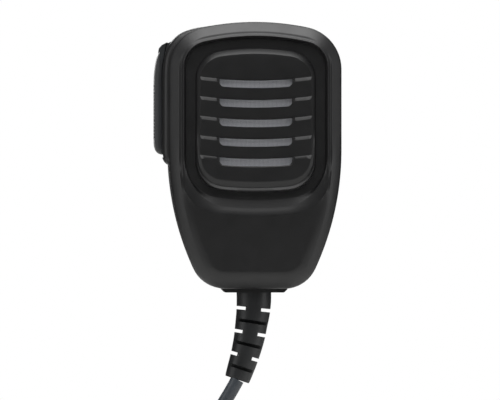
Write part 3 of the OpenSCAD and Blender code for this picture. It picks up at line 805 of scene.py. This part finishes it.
floor_edge = panel_outline(24.3, 26.0, -30, 8, 12)
floor_start = boss_edge(0.3)
floor_ring = dipped(tapered(floor_edge, frame_floor, 0))
frame_rings = [tapered(boss_edge(0.12), frame_floor - 0.35, 0)]
frame_rings += [dipped(tapered(outline, frame_floor, 0))
                for outline in between(floor_start, floor_edge, (0, 0.4, 0.8))]
wall_top = rim_ring(*rim[0])
for share, lift in ((0, 0), (0.1, 0.05), (0.2, 0.15), (0.9, 0.9)):
    ring = floor_ring + (wall_top - floor_ring) * share
    ring[:, 1] = floor_ring[:, 1] + (wall_top[:, 1] - floor_ring[:, 1]) * lift
    frame_rings.append(ring)
frame_rings += [rim_ring(*row) for row in rim]
print("frame rings:", len(frame_rings))

# %% [markdown]
# ## Front case: the outer bevel
#
# The rounded bevel lies a little further back beside the lip than below the grille, so it has two
# depths at each inset, also blended by height. Between the rim and the bevel the face is straight,
# except low down, where a few rings round it gently into the bevel.

# %% Outer bevel
bevel = [(0, -22.0, -22.0), (0.06, -22.3, -22.35), (0.22, -22.65, -22.8), (0.5, -23.0, -23.3),
         (1.0, -23.5, -23.93), (1.8, -24.3, -24.8), (2.4, -24.87, -25.35), (3.0, -25.45, -25.8),
         (3.2, -25.66, -25.93), (3.4, -25.82, -26.07)]
fold = [(0.3, 6.3, -27.0), (0.5, 5.5, -26.9), (0.7, 4.8, -26.72), (0.85, 4.1, -26.43)]
fold_middle = 4.3

bevel_rings = []
for inset, lipped, plain in bevel:
    outline = case_outline(inset)
    depth = plain + (lipped - plain) * fade(outline[:, 1], -24, -8)
    bevel_rings.append(tapered(outline, depth, front_taper))

low_part = fade(case_outline(fold_middle)[:, 1], -26, -40)[:, None]
rim_end, bevel_end = frame_rings[-1], bevel_rings[-1]
fold_rings = []
for share, inset, y in fold:
    straight = rim_end + (bevel_end - rim_end) * share
    fold_rings.append(straight + (tapered(case_outline(inset), y, front_taper) - straight) * low_part)
print("bevel and fold rings:", len(bevel_rings) + len(fold_rings))

# %% [markdown]
# ## Front case: the shell
#
# All rings are now put in one row. It goes on over the parting edge, which has a small chamfer, and
# back down the inner wall, 2.2 mm in. If two rings crossed, the skin would fold through itself, so
# the narrowest gap between neighbours is printed: it has to be more than nothing.

# %% Front shell
wall = 2.2


def inner_rings(rows, taper):
    """Rings down an inner wall, from rows of inset and depth, then in over the last row's floor."""
    last_inset, floor_y = rows[-1]
    edge = case_outline(last_inset)
    down = [tapered(case_outline(inset), y, taper) for inset, y in rows]
    over = [tapered(ray_centre + (edge - ray_centre) * share, floor_y, taper)
            for share in (0.9, 0.8, 0.7, 0.6, 0.5, 0.4, 0.25, 0.1)]
    return down + over


rings = panel_rings + frame_rings + fold_rings + bevel_rings[::-1]
reach = [np.linalg.norm(ring[:, [0, 2]] / MM - ray_centre, axis=1) for ring in rings]
gaps = [float((outer - inner).min()) for inner, outer in zip(reach, reach[1:])]
print("narrowest ring gap:", round(min(gaps), 3), "mm")
rings += [tapered(case_outline(inset), y, front_taper) for inset, y in ((0, parting - 0.3), (0.28, parting))]
rings += inner_rings([(wall, parting), (wall, -21.4), (2.8, -22.4), (4.4, -23.0)], front_taper)
front_shell = skin("front_shell", rings, crisp=40)
print("front shell:", len(front_shell.data.polygons), "faces")

# %% [markdown]
# ## Sound slots
#
# Each slot is a smile: its ends rise a little, its lower corners are round, and its edges are
# chamfered as a mould needs. One cutter is drawn, and Geometry Nodes sets five in a row.

# %% Slot cutter
slot_half, slot_height, slot_pitch, first_slot, slot_count = 12.7, 2.55, 6.84, 10.1, 5
slot_corner = 1.5
slot_top = first_slot + slot_height / 2


def sag(x):
    """How far a slot or a ledge has risen at a distance from the middle."""
    return 0.55 * (x / slot_half) ** 2


def slot_outline(grow):
    """A slot's outline with round lower corners, grown by a number of millimetres."""
    w, high, low, r = slot_half + grow, slot_top + grow, slot_top - slot_height - grow, slot_corner
    turns = np.radians(np.linspace(-8, -82, 6))
    upper = [(x, high + sag(x)) for x in np.linspace(-w, w, 25)]
    right = [(w - r + r * math.cos(a), low + r + r * math.sin(a)) for a in turns]
    lower = [(x, low) for x in np.linspace(w - r - 0.6, -w + r + 0.6, 21)]
    left = [(-x, z) for x, z in right[::-1]]
    return upper + [(x, z + sag(x)) for x, z in right + lower + left]


levels = [(-21.5, 0), (panel_face + 0.4, 0), (panel_face + 0.12, 0.12), (panel_face - 0.03, 0.35),
          (-29, 0.35)]
slot_cutter = skin("slot_cutter", [
    [(x * MM, y * MM, z * MM) for x, z in slot_outline(grow)] for y, grow in levels])
in_a_row(slot_cutter, slot_count, (0, 0, -slot_pitch))
print("slots:", slot_count, "at", slot_pitch, "mm")

# %% [markdown]
# ## Ledges
#
# The panel is stepped like shingles: under each ledge it falls back towards the next one, so every
# ledge stands out to catch light from above, and shows at both sides of its slot. Each step is cut
# away with one cutter, repeated like the slots. A last tool clears the pocket behind the panel that
# holds the cloth and its frame.

# %% Ledge and pocket cutters
ledge_half, ledge_start, slot_reach = 19.6, 13.7, 13.45
side_slope, slot_slope = 1.15, 0.12
ledge_depth, cutter_front, overlap = 0.5, 0.6, 1.2


def shingle_cutter():
    """What a shingle loses: nothing under its own ledge, and most where the next ledge begins. Beside
    the slot the ledge's edge is a visible slope, and at the slot it is steep."""
    columns = [(x, side_slope) for x in np.linspace(-ledge_half, -ledge_start, 7)]
    columns += [(x, slot_slope) for x in np.linspace(-slot_reach, slot_reach, 23)]
    columns += [(x, side_slope) for x in np.linspace(ledge_start, ledge_half, 7)]
    sections = []
    for x, slope in columns:
        high = slot_top + 0.15 + sag(x)
        next_ledge = high + slot_pitch - overlap
        profile = [(panel_face, next_ledge), (panel_face + ledge_depth, high), (panel_face, high - slope),
                   (panel_face - cutter_front, high - slope), (panel_face - cutter_front, next_ledge)]
        sections.append([(x * MM, y * MM, z * MM) for y, z in profile])
    return in_a_row(skin("shingle_cutter", sections), slot_count, (0, 0, -slot_pitch))


pocket_outline = panel_outline(16.4, 18, -21.7, 6, 6, 75, 100)
pocket = skin("pocket_cutter", [tapered(pocket_outline, y, 0) for y in (-25.8, -21)])
print("grille cutters made")

# %% [markdown]
# ## Openings that both shells share
#
# The push-to-talk bar reaches in through a window in the left side, and the strain relief leaves
# through a hole in the foot. Both openings lie across the parting line, so each shell is cut with
# the same two tools, and the bezel and the collar with their like.

# %% Cut the front case
bar_half, bar_gap = 6.6, 0.4
relief_hole_r = 6.15
window_low, window_high = -15.4, 25.6


def window_cutter(inner_x):
    """The bar's opening, from well outside the case in to a distance from its middle."""
    return box("window", (-half_width - 6, parting - bar_half - bar_gap, window_low),
               (inner_x, parting + bar_half + bar_gap, window_high))


def hole_cutter(name, height):
    """The strain relief's round hole, up to a height above the foot of the case."""
    levels = (bottom - 3, bottom + height)
    return skin(name, [level_ring(0, parting, z, relief_hole_r, 48) for z in levels])


def shared_openings():
    """The two tools that cut both shells."""
    return [window_cutter(-26), hole_cutter("relief_hole", 4)]


front_case = carve(front_shell, [pocket, shingle_cutter(), slot_cutter, *shared_openings()], crisp=25)
flatten_shading(front_case)
front_case.name = "front_case_moulding"
dress(front_case, spark_eroded_abs, "handset", "case", "front_case")

# %% [markdown]
# ## Rear case: the shell
#
# The rear shell is the front's simpler twin: a softer bevel and a plain back that falls away towards
# the foot. It is made of rings in the same way, from the middle of the back outwards and in again.

# %% Rear shell
back_face = -1.0
back_bevel = [(0.28, parting), (0, parting + 0.3), (0, -5.0), (0.1, -4.4), (0.45, -3.5), (1.0, -2.6),
              (1.8, -1.8), (2.7, -1.3), (3.7, back_face)]
back_edge = case_outline(back_bevel[-1][0])
rings = [tapered(ray_centre + (back_edge - ray_centre) * share, back_face, back_taper)
         for share in (0.04, 0.15, 0.3, 0.45, 0.6, 0.7, 0.8, 0.9)]
rings += [tapered(case_outline(inset), y, back_taper) for inset, y in back_bevel[::-1]]
rings += inner_rings([(wall, parting), (wall, -5.2), (3.0, -4.2), (4.6, -3.2)], back_taper)
rear_shell = skin("rear_case_moulding", rings, crisp=40)
print("rear shell:", len(rear_shell.data.polygons), "faces")

# %% [markdown]
# ## Rear case: boss, posts and wells
#
# A round boss carries the hang-up button, and four posts inside take the case's screws. These are
# lathe shapes, joined on. Each screw's head sits in a well, cut from the back.

# %% Boss, posts and wells
button_boss = turned("button_boss", [
    (9.6, -2.2), (9.6, back_face - 0.1), (9.25, back_face + 0.12), (9.05, -0.45), (8.9, -0.12), (8.6, 0),
    (2.6, 0), (2.6, -2.2)], (0, 0))
carve(rear_shell, [button_boss], "UNION", crisp=35)

screw_places = [(-18.2, 22), (18.2, 22), (-12, -50), (12, -50)]
post_r, post_front = 3.9, -12.5
post_backs = (-4.2, -4.2, -6.2, -6.2)
wells = [turned("well", [(3, -6), (3, -1.6), (3.05, 3)], place, 40) for place in screw_places]
posts = [turned("post", [(post_r, post_front), (post_r, back)], place, 40)
         for place, back in zip(screw_places, post_backs)]
carve(rear_shell, posts, "UNION", crisp=35)
print("screw places:", len(screw_places))

# %% [markdown]
# ## Rear case: the label's seat
#
# The label plate lies in a shallow seat that follows the slope of the back. Its points are worked out
# flat, then leaned by the slope's angle, and the plate itself later uses the same rule.

# %% Label seat
seat_turn = math.radians(-7.5)
seat_y, seat_z = -2.4, -32


def on_seat(x, y, z):
    """A point on the sloping label seat, in millimetres from the seat's middle."""
    c, s = math.cos(seat_turn), math.sin(seat_turn)
    return (x * MM, (seat_y + y * c - z * s) * MM, (seat_z + y * s + z * c) * MM)


def rounded_rectangle(half_w, half_h, r, steps=8):
    """A rectangle about its middle, with round corners."""
    corners = [(half_w - r, half_h - r, 0), (r - half_w, half_h - r, 90), (r - half_w, r - half_h, 180),
               (half_w - r, r - half_h, 270)]
    points = []
    for x, z, turn in corners:
        for k in range(steps + 1):
            a = math.radians(turn + 90 * k / steps)
            points.append((x + r * math.cos(a), z + r * math.sin(a)))
    return points


seat_cutter = skin("seat_cutter", [
    [on_seat(x, y, z) for x, z in rounded_rectangle(12.05 + grow, 8.05 + grow, 1.5)]
    for y, grow in ((0, 0), (3, 0.1))])
carve(rear_shell, [*wells, seat_cutter, *shared_openings()], crisp=35)
dress(rear_shell, spark_eroded_abs, "handset", "case", "rear_case")

# %% [markdown]
# ## Push-to-talk bar
#
# A raised bezel wraps the upper left corner of the case, and the long bar sits in it. Both are the
# same kind of shape: an outline seen from the front, drawn out in depth, with its long edges rolled
# over to a generous radius. One helper makes both. A bevel modifier would round the buried edges as
# well, so the roll is worked out here and fades where the outline runs into the case.

# %% Rolled edges
def millimetres(name):
    """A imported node's lowest and highest corners, in millimetres."""
    low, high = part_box(name)
    return [c / MM for c in low], [c / MM for c in high]


roll_start = 1.5


def outside_case(outline):
    """How far each point stands out of the case's outline, in millimetres."""
    case = case_outline(0) - ray_centre
    reach = outline - ray_centre
    angle = np.arctan2(reach[:, 1], reach[:, 0]) % (2 * np.pi)
    edge = np.interp(angle, rays, np.linalg.norm(case, axis=1), period=2 * np.pi)
    return np.linalg.norm(reach, axis=1) - edge


def rolled(name, corners, front, back, roll):
    """A closed outline in X and Z drawn out in depth, with its long edges rolled to a radius. The
    roll fades out where the outline runs into the case, so what lies inside stays plain."""
    loop = [(x, 0, z) for x, z in corners]
    outline = smooth_route(loop + [loop[0]], 8)[:-1, [0, 2]]
    along = np.roll(outline, -1, axis=0) - np.roll(outline, 1, axis=0)
    out = np.stack([along[:, 1], -along[:, 0]], axis=1) / np.linalg.norm(along, axis=1)[:, None]
    if np.sum(np.cross(outline, np.roll(outline, -1, axis=0))) < 0:
        out = -out
    share = fade(outside_case(outline), 0, roll_start)[:, None]
    rings = []
    turns = np.radians(np.linspace(0, 90, 9))
    steps = [(front + roll * (1 - math.sin(a)), roll * (1 - math.cos(a))) for a in turns[::-1]]
    steps += [(back - roll * (1 - math.sin(a)), roll * (1 - math.cos(a))) for a in turns]
    for y, inset in steps:
        ring = outline - out * share * inset
        rings.append([(x * MM, y * MM, z * MM) for x, z in ring])
    return skin(name, rings, crisp=40)


print("rolled edges fade over", roll_start, "mm")

# %% [markdown]
# ## Bezel
#
# The bezel is part of the case's outside, in the same black plastic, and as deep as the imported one.
# What would lie inside the case is cut away with the case's own outline, and the window for the bar
# is cut through it.

# %% Bezel
bezel_corners = [
    (-13, 30.7), (-16, 30.55), (-19, 30.2), (-22.5, 29.45), (-25.9, 28.1), (-28.3, 26.1), (-30.3, 23.4),
    (-31.6, 20), (-32.15, 16), (-32.3, 10), (-32.3, 0), (-32.3, -11), (-32.25, -14), (-31.9, -15.9),
    (-31.0, -17.3), (-29.6, -18.1), (-28, -18.3), (-26, -17.4), (-25, -10), (-24, 0), (-22, 14), (-18, 26),
    (-13, 29)
]
bezel_low, bezel_high = millimetres("ptt_bezel")
bezel = rolled("ptt_bezel_moulding", bezel_corners, bezel_low[1], bezel_high[1], 2.4)
inside = skin("inside_cutter", [
    tapered(case_outline(0.4), y, 0) for y in (bezel_high[1] + 2, bezel_low[1] - 2)])
carve(bezel, [inside, window_cutter(-20)], crisp=40)
dress(bezel, spark_eroded_abs, "handset", "case", "ptt_bezel")

# %% [markdown]
# ## Bar
#
# The bar's soft cover is rolled in the same way. Its outer face carries fine grip ribs: one is drawn,
# with its ends rounded off, and Geometry Nodes sets sixteen in a row before they are joined on. The
# cover rides on the moving body, while the bezel stays with the case.

# %% Bar
bar_corners = [
    (-31.2, -14.4), (-32.3, -14.35), (-33.3, -14.05), (-34.2, -13.3), (-34.75, -12.2), (-35.05, -10.6),
    (-35.1, -8), (-35.1, 0), (-35.1, 9), (-35.05, 13), (-34.75, 16), (-34.2, 19), (-33.2, 21.5),
    (-31.8, 23.4), (-30.3, 24.7), (-28.9, 25.2), (-28.9, 23.6), (-30.6, 22.4), (-31.2, 21), (-31.2, 10),
    (-31.2, 0), (-31.2, -10)
]
bar = rolled("ptt_cover_moulding", bar_corners, parting - bar_half, parting + bar_half, 2.2)

rib_face, rib_foot, rib_height, rib_half, first_rib = -34.98, -34.6, 0.3, 0.5, -8.4
rib_count, rib_pitch = 16, 1.2
rib_rings = []
for y, grow in ((-4.3, 0.25), (-4.15, 0.7), (-3.8, 1), (3.8, 1), (4.15, 0.7), (4.3, 0.25)):
    ridge = [(rib_face - rib_height * grow * max(0, math.sin(a)), first_rib + rib_half * grow * math.cos(a))
             for a in np.radians(np.linspace(0, 180, 9))]
    foot = [(rib_foot, first_rib + rib_half * grow * side) for side in (-1, 1)]
    rib_rings.append([(x * MM, (parting + y) * MM, z * MM) for x, z in ridge + foot])
rib = in_a_row(skin("grip_rib", rib_rings, crisp=50), rib_count, (0, 0, rib_pitch))
carve(bar, [rib], "UNION", crisp=40)
dress(bar, soft_touch, "ptt_bar", "cover", "ptt_cover")

# %% [markdown]
# ## Strain relief
#
# The relief is one soft moulding that tapers as it bends to the left. Its skin is a tube along a
# smooth axis, with a radius for each listed point and a small chamfer at its end.

# %% Strain relief skin
relief_points = [(0, -59), (0, -62), (0, -66), (-0.3, -70), (-0.9, -74), (-1.5, -78), (-2.4, -82),
                 (-3.5, -86), (-4.8, -90), (-5.9, -93.3)]
relief_radii = [6.1, 6.1, 6.05, 5.9, 5.65, 5.45, 5.2, 4.95, 4.7, 4.4]
relief_steps = 6
end_chamfer, end_round = 0.5 * MM, 0.12 * MM
axis = smooth_route([(x * MM, parting_y, z * MM) for x, z in relief_points], relief_steps)
steps = np.linspace(0, len(relief_points) - 1, len(axis))
radii = np.interp(steps, range(len(relief_radii)), relief_radii) * MM
axis = np.vstack([axis, axis[-1] + (axis[-1] - axis[-2]) * 0.01])
radii = np.append(radii, radii[-1] - end_chamfer)
radii[-2] -= end_round
relief = skin("strain_relief_moulding", tube_rings(axis, radii, 56), crisp=40)
print("relief length:", round(length_of(axis) / MM, 1), "mm")

# %% [markdown]
# ## The relief's slots
#
# Pairs of slots cross the relief, turn about, so that it flexes evenly in all directions and a web is
# left between the two slots of a pair. Each slot is a block, square to the axis there, that is cut in
# from one side. A flange inside the case keeps the relief from being pulled out.

# %% Relief slots
slot_places = [(2.65, 0), (3.75, 90), (4.75, 0), (5.75, 90), (6.8, 0), (7.8, 90)]
slot_gap, slot_web, block_half = 1.15, 2.5, 9


def on_axis(place):
    """The point of the relief's axis at a number of steps from its start."""
    return np.array([np.interp(place, range(len(axis)), axis[:, k]) for k in range(3)])


blocks = []
for place, turn in slot_places:
    at = on_axis(place * relief_steps)
    ahead = on_axis(place * relief_steps + 2) - at
    down = ahead / np.linalg.norm(ahead)
    across = np.cross(down, (0, 1, 0))
    depth = np.array((0, 1.0, 0))
    a, b = (across, depth) if turn == 0 else (depth, across)
    for way in (1, -1):
        corners = []
        for reach in (slot_web, block_half):
            corners.append([at + (a * way * reach + b * s * block_half + down * t * slot_gap / 2) * MM
                            for s, t in ((-1, -1), (1, -1), (1, 1), (-1, 1))])
        blocks.append(skin("slot_block", corners))
carve(relief, blocks, crisp=40)
flange = box("flange", (-8, parting - 6.3, -59.15), (8, parting + 6.15, -57.05))
carve(relief, [flange], "UNION", crisp=40)
dress(relief, relief_pvc, "handset", "relief", "strain_relief")

# %% [markdown]
# ## Collar
#
# The collar is the chamfered lip at the foot of the case that the relief leaves by: a flat prism with
# sloping ends and a round hole. It is moulded with the case, so it has the same finish.

# %% Collar
collar_half, collar_drop = 11.6, 1.3
collar_outline = [(-collar_half, bottom - 0.02), (-10.4, bottom - 1.2), (-10.1, bottom - collar_drop),
                  (10.1, bottom - collar_drop), (10.4, bottom - 1.2), (collar_half, bottom - 0.02)]
collar_low, collar_high = millimetres("relief_collar")
collar = prism("collar_moulding", collar_outline, collar_low[1], collar_high[1])
carve(collar, [hole_cutter("collar_hole", 1)])
dress(collar, spark_eroded_abs, "handset", "case", "relief_collar")

# %% [markdown]
# ## Hang-up button
#
# The button hangs the microphone on its clip. It is turned from one bar: a neck and a domed head with
# fine rounded edges. So its mesh is a lathe shape too, with more sides than the rest, because it is
# polished and shows every facet.

# %% Button
button = turned("hang_up_button_turned", [
    (0.3, 1.4), (1.5, 1.4), (1.55, -3.4), (2.3, -3.7), (2.5, -3.6), (2.5, 0.02), (2.7, 0.02), (3.0, 0.2),
    (3.0, 2.95), (3.12, 3.15), (3.3, 3.2), (5.3, 3.2), (5.6, 3.3), (5.8, 3.6), (5.8, 4.6), (5.7, 5.0),
    (5.45, 5.35), (5.0, 5.6), (4.5, 5.68), (3, 5.76), (1.5, 5.79), (0.3, 5.8)], (0, 0), 72)
dress(button, nickel_plate, "handset", "button_metal", "hang_up_button")

# %% [markdown]
# ## Case screws
#
# The screws are pan heads with a cross recess. One is modelled, and Geometry Nodes puts a copy in
# each well, at an angle of its own, as a hand-driven screw ends up.

# %% Screws
well_floor = -6
screw = turned("screw", [
    (1.3, -14), (1.3, 0.02), (2.45, 0.02), (2.68, 0.15), (2.7, 0.6), (2.62, 1.1), (2.35, 1.5), (1.8, 1.78),
    (1.0, 1.9), (0.3, 1.92)], (0, 0), 32)
recess = [
    box("recess", (-1.6, 0.9, -0.36), (1.6, 3, 0.36)),
    box("recess", (-0.36, 0.9, -1.6), (0.36, 3, 1.6))
]
carve(screw, recess)
screws = on_places("case_screws_turned", screw, [(x, well_floor, z) for x, z in screw_places], zinc_steel)
dress(screws, zinc_steel, "handset", "screw", "case_screws")

# %% [markdown]
# ## Label plate
#
# The label is a thin plate with round corners and a fine chamfer, glued in its seat and left blank.

# %% Label
label = skin("label_plate", [
    [on_seat(x, y, z) for x, z in rounded_rectangle(11.9 - inset, 7.9 - inset, 1.35)]
    for y, inset in ((0, 0), (0.3, 0), (0.38, 0.06), (0.4, 0.16))])
dress(label, brushed_aluminium, "handset", "label", "rear_label")

# %% [markdown]
# ## Acoustic cloth
#
# A tight cloth closes the slots from inside and keeps water and dust off the capsule. It is glued to
# its frame at the rim and stretched flat. The weave is in the material, because a thread is finer
# than a mesh could hold. The sheet itself bows inwards by less than a tenth of a millimetre.

# %% Cloth
cloth_low, cloth_high = millimetres("grille_cloth")
cloth_edge = panel_outline(16.2, 17.8, -21.5, 6, 6, 75, 100)
cloth_bow = 0.08
cloth_rings = []
outwards = (0.05, 0.3, 0.55, 0.8, 0.95, 1)
for depth, shares in ((cloth_low[1], outwards), (cloth_high[1], outwards[::-1])):
    for share in shares:
        bow = cloth_bow * (1 - share ** 2)
        cloth_rings.append(tapered(ray_centre + (cloth_edge - ray_centre) * share, depth + bow, 0))
cloth = skin("acoustic_cloth_sheet", cloth_rings, crisp=60)
dress(cloth, acoustic_cloth, "handset", "cloth", "grille_cloth")

# %% [markdown]
# ## Ties
#
# Two hook-and-loop straps hold the stored coil. Each goes round both layers of the curly cord, so
# its section is a rounded slot, swept through its own width with soft edges.

# %% Ties
strap_r = 8.0
strap_layers = 7.5


def tie_ring(angle, grow, shift):
    """One outline of a tie, square to the coil at an angle, in millimetres."""
    out = np.array((math.cos(angle), 0, math.sin(angle)))
    along = np.array((-math.sin(angle), 0, math.cos(angle)))
    middle = coil_centre / MM + out * coil_r / MM + along * shift
    r = strap_r + grow
    points = []
    for end in (1, -1):
        for a in np.radians(np.linspace(0, 180, 15)):
            points.append(middle + out * (end * r * math.cos(a))
                          + np.array((0, end * (strap_layers + r * math.sin(a)), 0)))
    return [p * MM for p in points]


tie_section = [(-4, 0.2), (-3.85, 0), (3.85, 0), (4, 0.2), (4, 1.0), (3.85, 1.2), (-3.85, 1.2), (-4, 1.0)]
straps = []
for angle in (30, 185):
    rings = [tie_ring(math.radians(angle), grow, shift) for shift, grow in tie_section]
    straps.append(skin("strap", rings, crisp=50, closed=True))
ties = carve(straps[0], [straps[1]], "UNION", crisp=50)
ties.name = "cord_ties_straps"
dress(ties, hook_and_loop, "handset", "tie", "cord_ties")

# %% [markdown]
# ## Plug boot
#
# The plug is one clear moulding with gold contacts and a sprung latch. All three have their final
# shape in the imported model, and only get a finish, in the next step. The short boot that covers the
# cord's entry is made here: a round sleeve with two grooves, so that it bends with the cord.

# %% Plug boot
boot_x, boot_y = -4, -20.8
boot_profile = [(-140, 3.2), (-138.5, 3.18), (-138.3, 2.95), (-137.7, 2.95), (-137.5, 3.12), (-136.4, 3.08),
                (-136.2, 2.86), (-135.6, 2.86), (-135.4, 3.02), (-133.6, 2.92), (-133.15, 2.75), (-133, 2.5)]
boot = skin("plug_boot_moulding", [level_ring(boot_x, boot_y, z, r, 40) for z, r in boot_profile], crisp=40)
dress(boot, relief_pvc, "handset", "relief", "plug_boot")

# %% [markdown]
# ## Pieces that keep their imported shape
#
# What is inside the case, and the plug's small parts, have the right shape already. Each gets the
# finish of its real material.

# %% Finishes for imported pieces
finishes = {
    clear_polycarbonate: ["plug_body", "plug_latch"],
    gold_plate: ["plug_contacts"],
    inner_abs: ["cloth_frame", "ptt_switch"],
    soft_touch: ["ptt_lever"],
    boot_rubber: ["capsule_boot"],
    turned_aluminium: ["mic_capsule"],
    solder_mask: ["circuit_board"],
    zinc_steel: ["board_screws", "clamp_screws", "button_screw", "pivot_pin", "hang_up_plate"],
    spring_steel: ["ptt_spring"],
    natural_nylon: ["wire_header", "cable_clamp"],
    epoxy_moulding: ["amplifier_chip"],
    shrink_sleeve: ["capacitors"],
    wire_insulation: ["signal_wires"],
    jacket_pvc: ["inner_cable"],
    natural_acetal: ["switch_plunger"],
}
for material, names in finishes.items():
    for name in names:
        nodes[name].data.materials.clear()
        nodes[name].data.materials.append(material)
print("packed pieces finished:", sum(len(names) for names in finishes.values()))

# %% [markdown]
# ## Finishing the cord
#
# The cord is one piece from the relief to the plug. It gets its finish and its body, and stands for
# the three imported cord pieces.

# %% Cord finish
dress(cord, jacket_pvc, "handset", "cord", "cord_tail", "curly_cord", "plug_tail")

# %% [markdown]
# ## Floor
#
# The floor is a small pale disc under the hanging coil. It sends a little light up under the case.

# %% Floor
scene = bpy.context.scene
scene.view_settings.view_transform = "Standard"
low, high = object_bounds()
floor_r, floor_thick, floor_gap = 420, 4, 12
floor_z = low.z / MM - floor_gap
floor = skin("floor", [level_ring(0, 0, z, floor_r, 96) for z in (floor_z - floor_thick, floor_z)])
floor_paint, tree, shader, place = new_material("pale_studio_floor", Roughness=0.8)
tint(tree, shader, place, "#e9e9e8", "#ececea", 12)
floor.data.materials.append(floor_paint)
print("floor:", floor_gap, "mm below the lowest piece")

# %% [markdown]
# ## Lamps
#
# The light is that of a shop picture: a wide soft box overhead, and weaker light from both sides,
# the front and the back. Black plastic shows mostly what it mirrors, so the lamps are large.

# %% Lamps
def soft_box(name, place, size, power, target=aim):
    """A square lamp that faces a point."""
    lamp = bpy.data.lights.new(name, "AREA")
    lamp.shape = "RECTANGLE"
    lamp.size, lamp.size_y = size
    lamp.energy = power
    piece = bpy.data.objects.new(name, lamp)
    piece.location = place
    piece.rotation_euler = (Vector(target) - Vector(place)).to_track_quat("-Z", "Y").to_euler()
    scene.collection.objects.link(piece)
    return piece


soft_box("top_box", (0, -0.1, 0.5), (0.7, 0.5), 4.9)
soft_box("front_top_box", (0, -0.5, 0.42), (0.6, 0.25), 1.0)
soft_box("left_box", (-0.68, -0.26, 0.05), (0.3, 0.6), 1.1)
soft_box("right_box", (0.7, -0.25, 0.05), (0.3, 0.6), 1.3)
soft_box("back_box", (0, 0.8, 0.3), (0.6, 0.6), 4)
print("lamps:", len(bpy.data.lights))

# %% [markdown]
# ## White surround
#
# The camera sees pure white all round, as in a cut-out picture. The same white would wash out the
# black plastic if it lit it, so a mix by the kind of ray lets it add only a little light.

# %% World
world = bpy.data.worlds.new("white_room")
world.use_nodes = True
tree = world.node_tree
tree.nodes.clear()
seen = add(tree, "ShaderNodeBackground", {"Color": (1, 1, 1, 1), "Strength": 1.0})
lit = add(tree, "ShaderNodeBackground", {"Color": (1, 1, 1, 1), "Strength": 0.06})
ray = add(tree, "ShaderNodeLightPath")
mix = add(tree, "ShaderNodeMixShader", links={
    0: ray.outputs["Is Camera Ray"], 1: lit.outputs[0], 2: seen.outputs[0]})
add(tree, "ShaderNodeOutputWorld", links={0: mix.outputs[0]})
scene.world = world
print("world:", world.name)
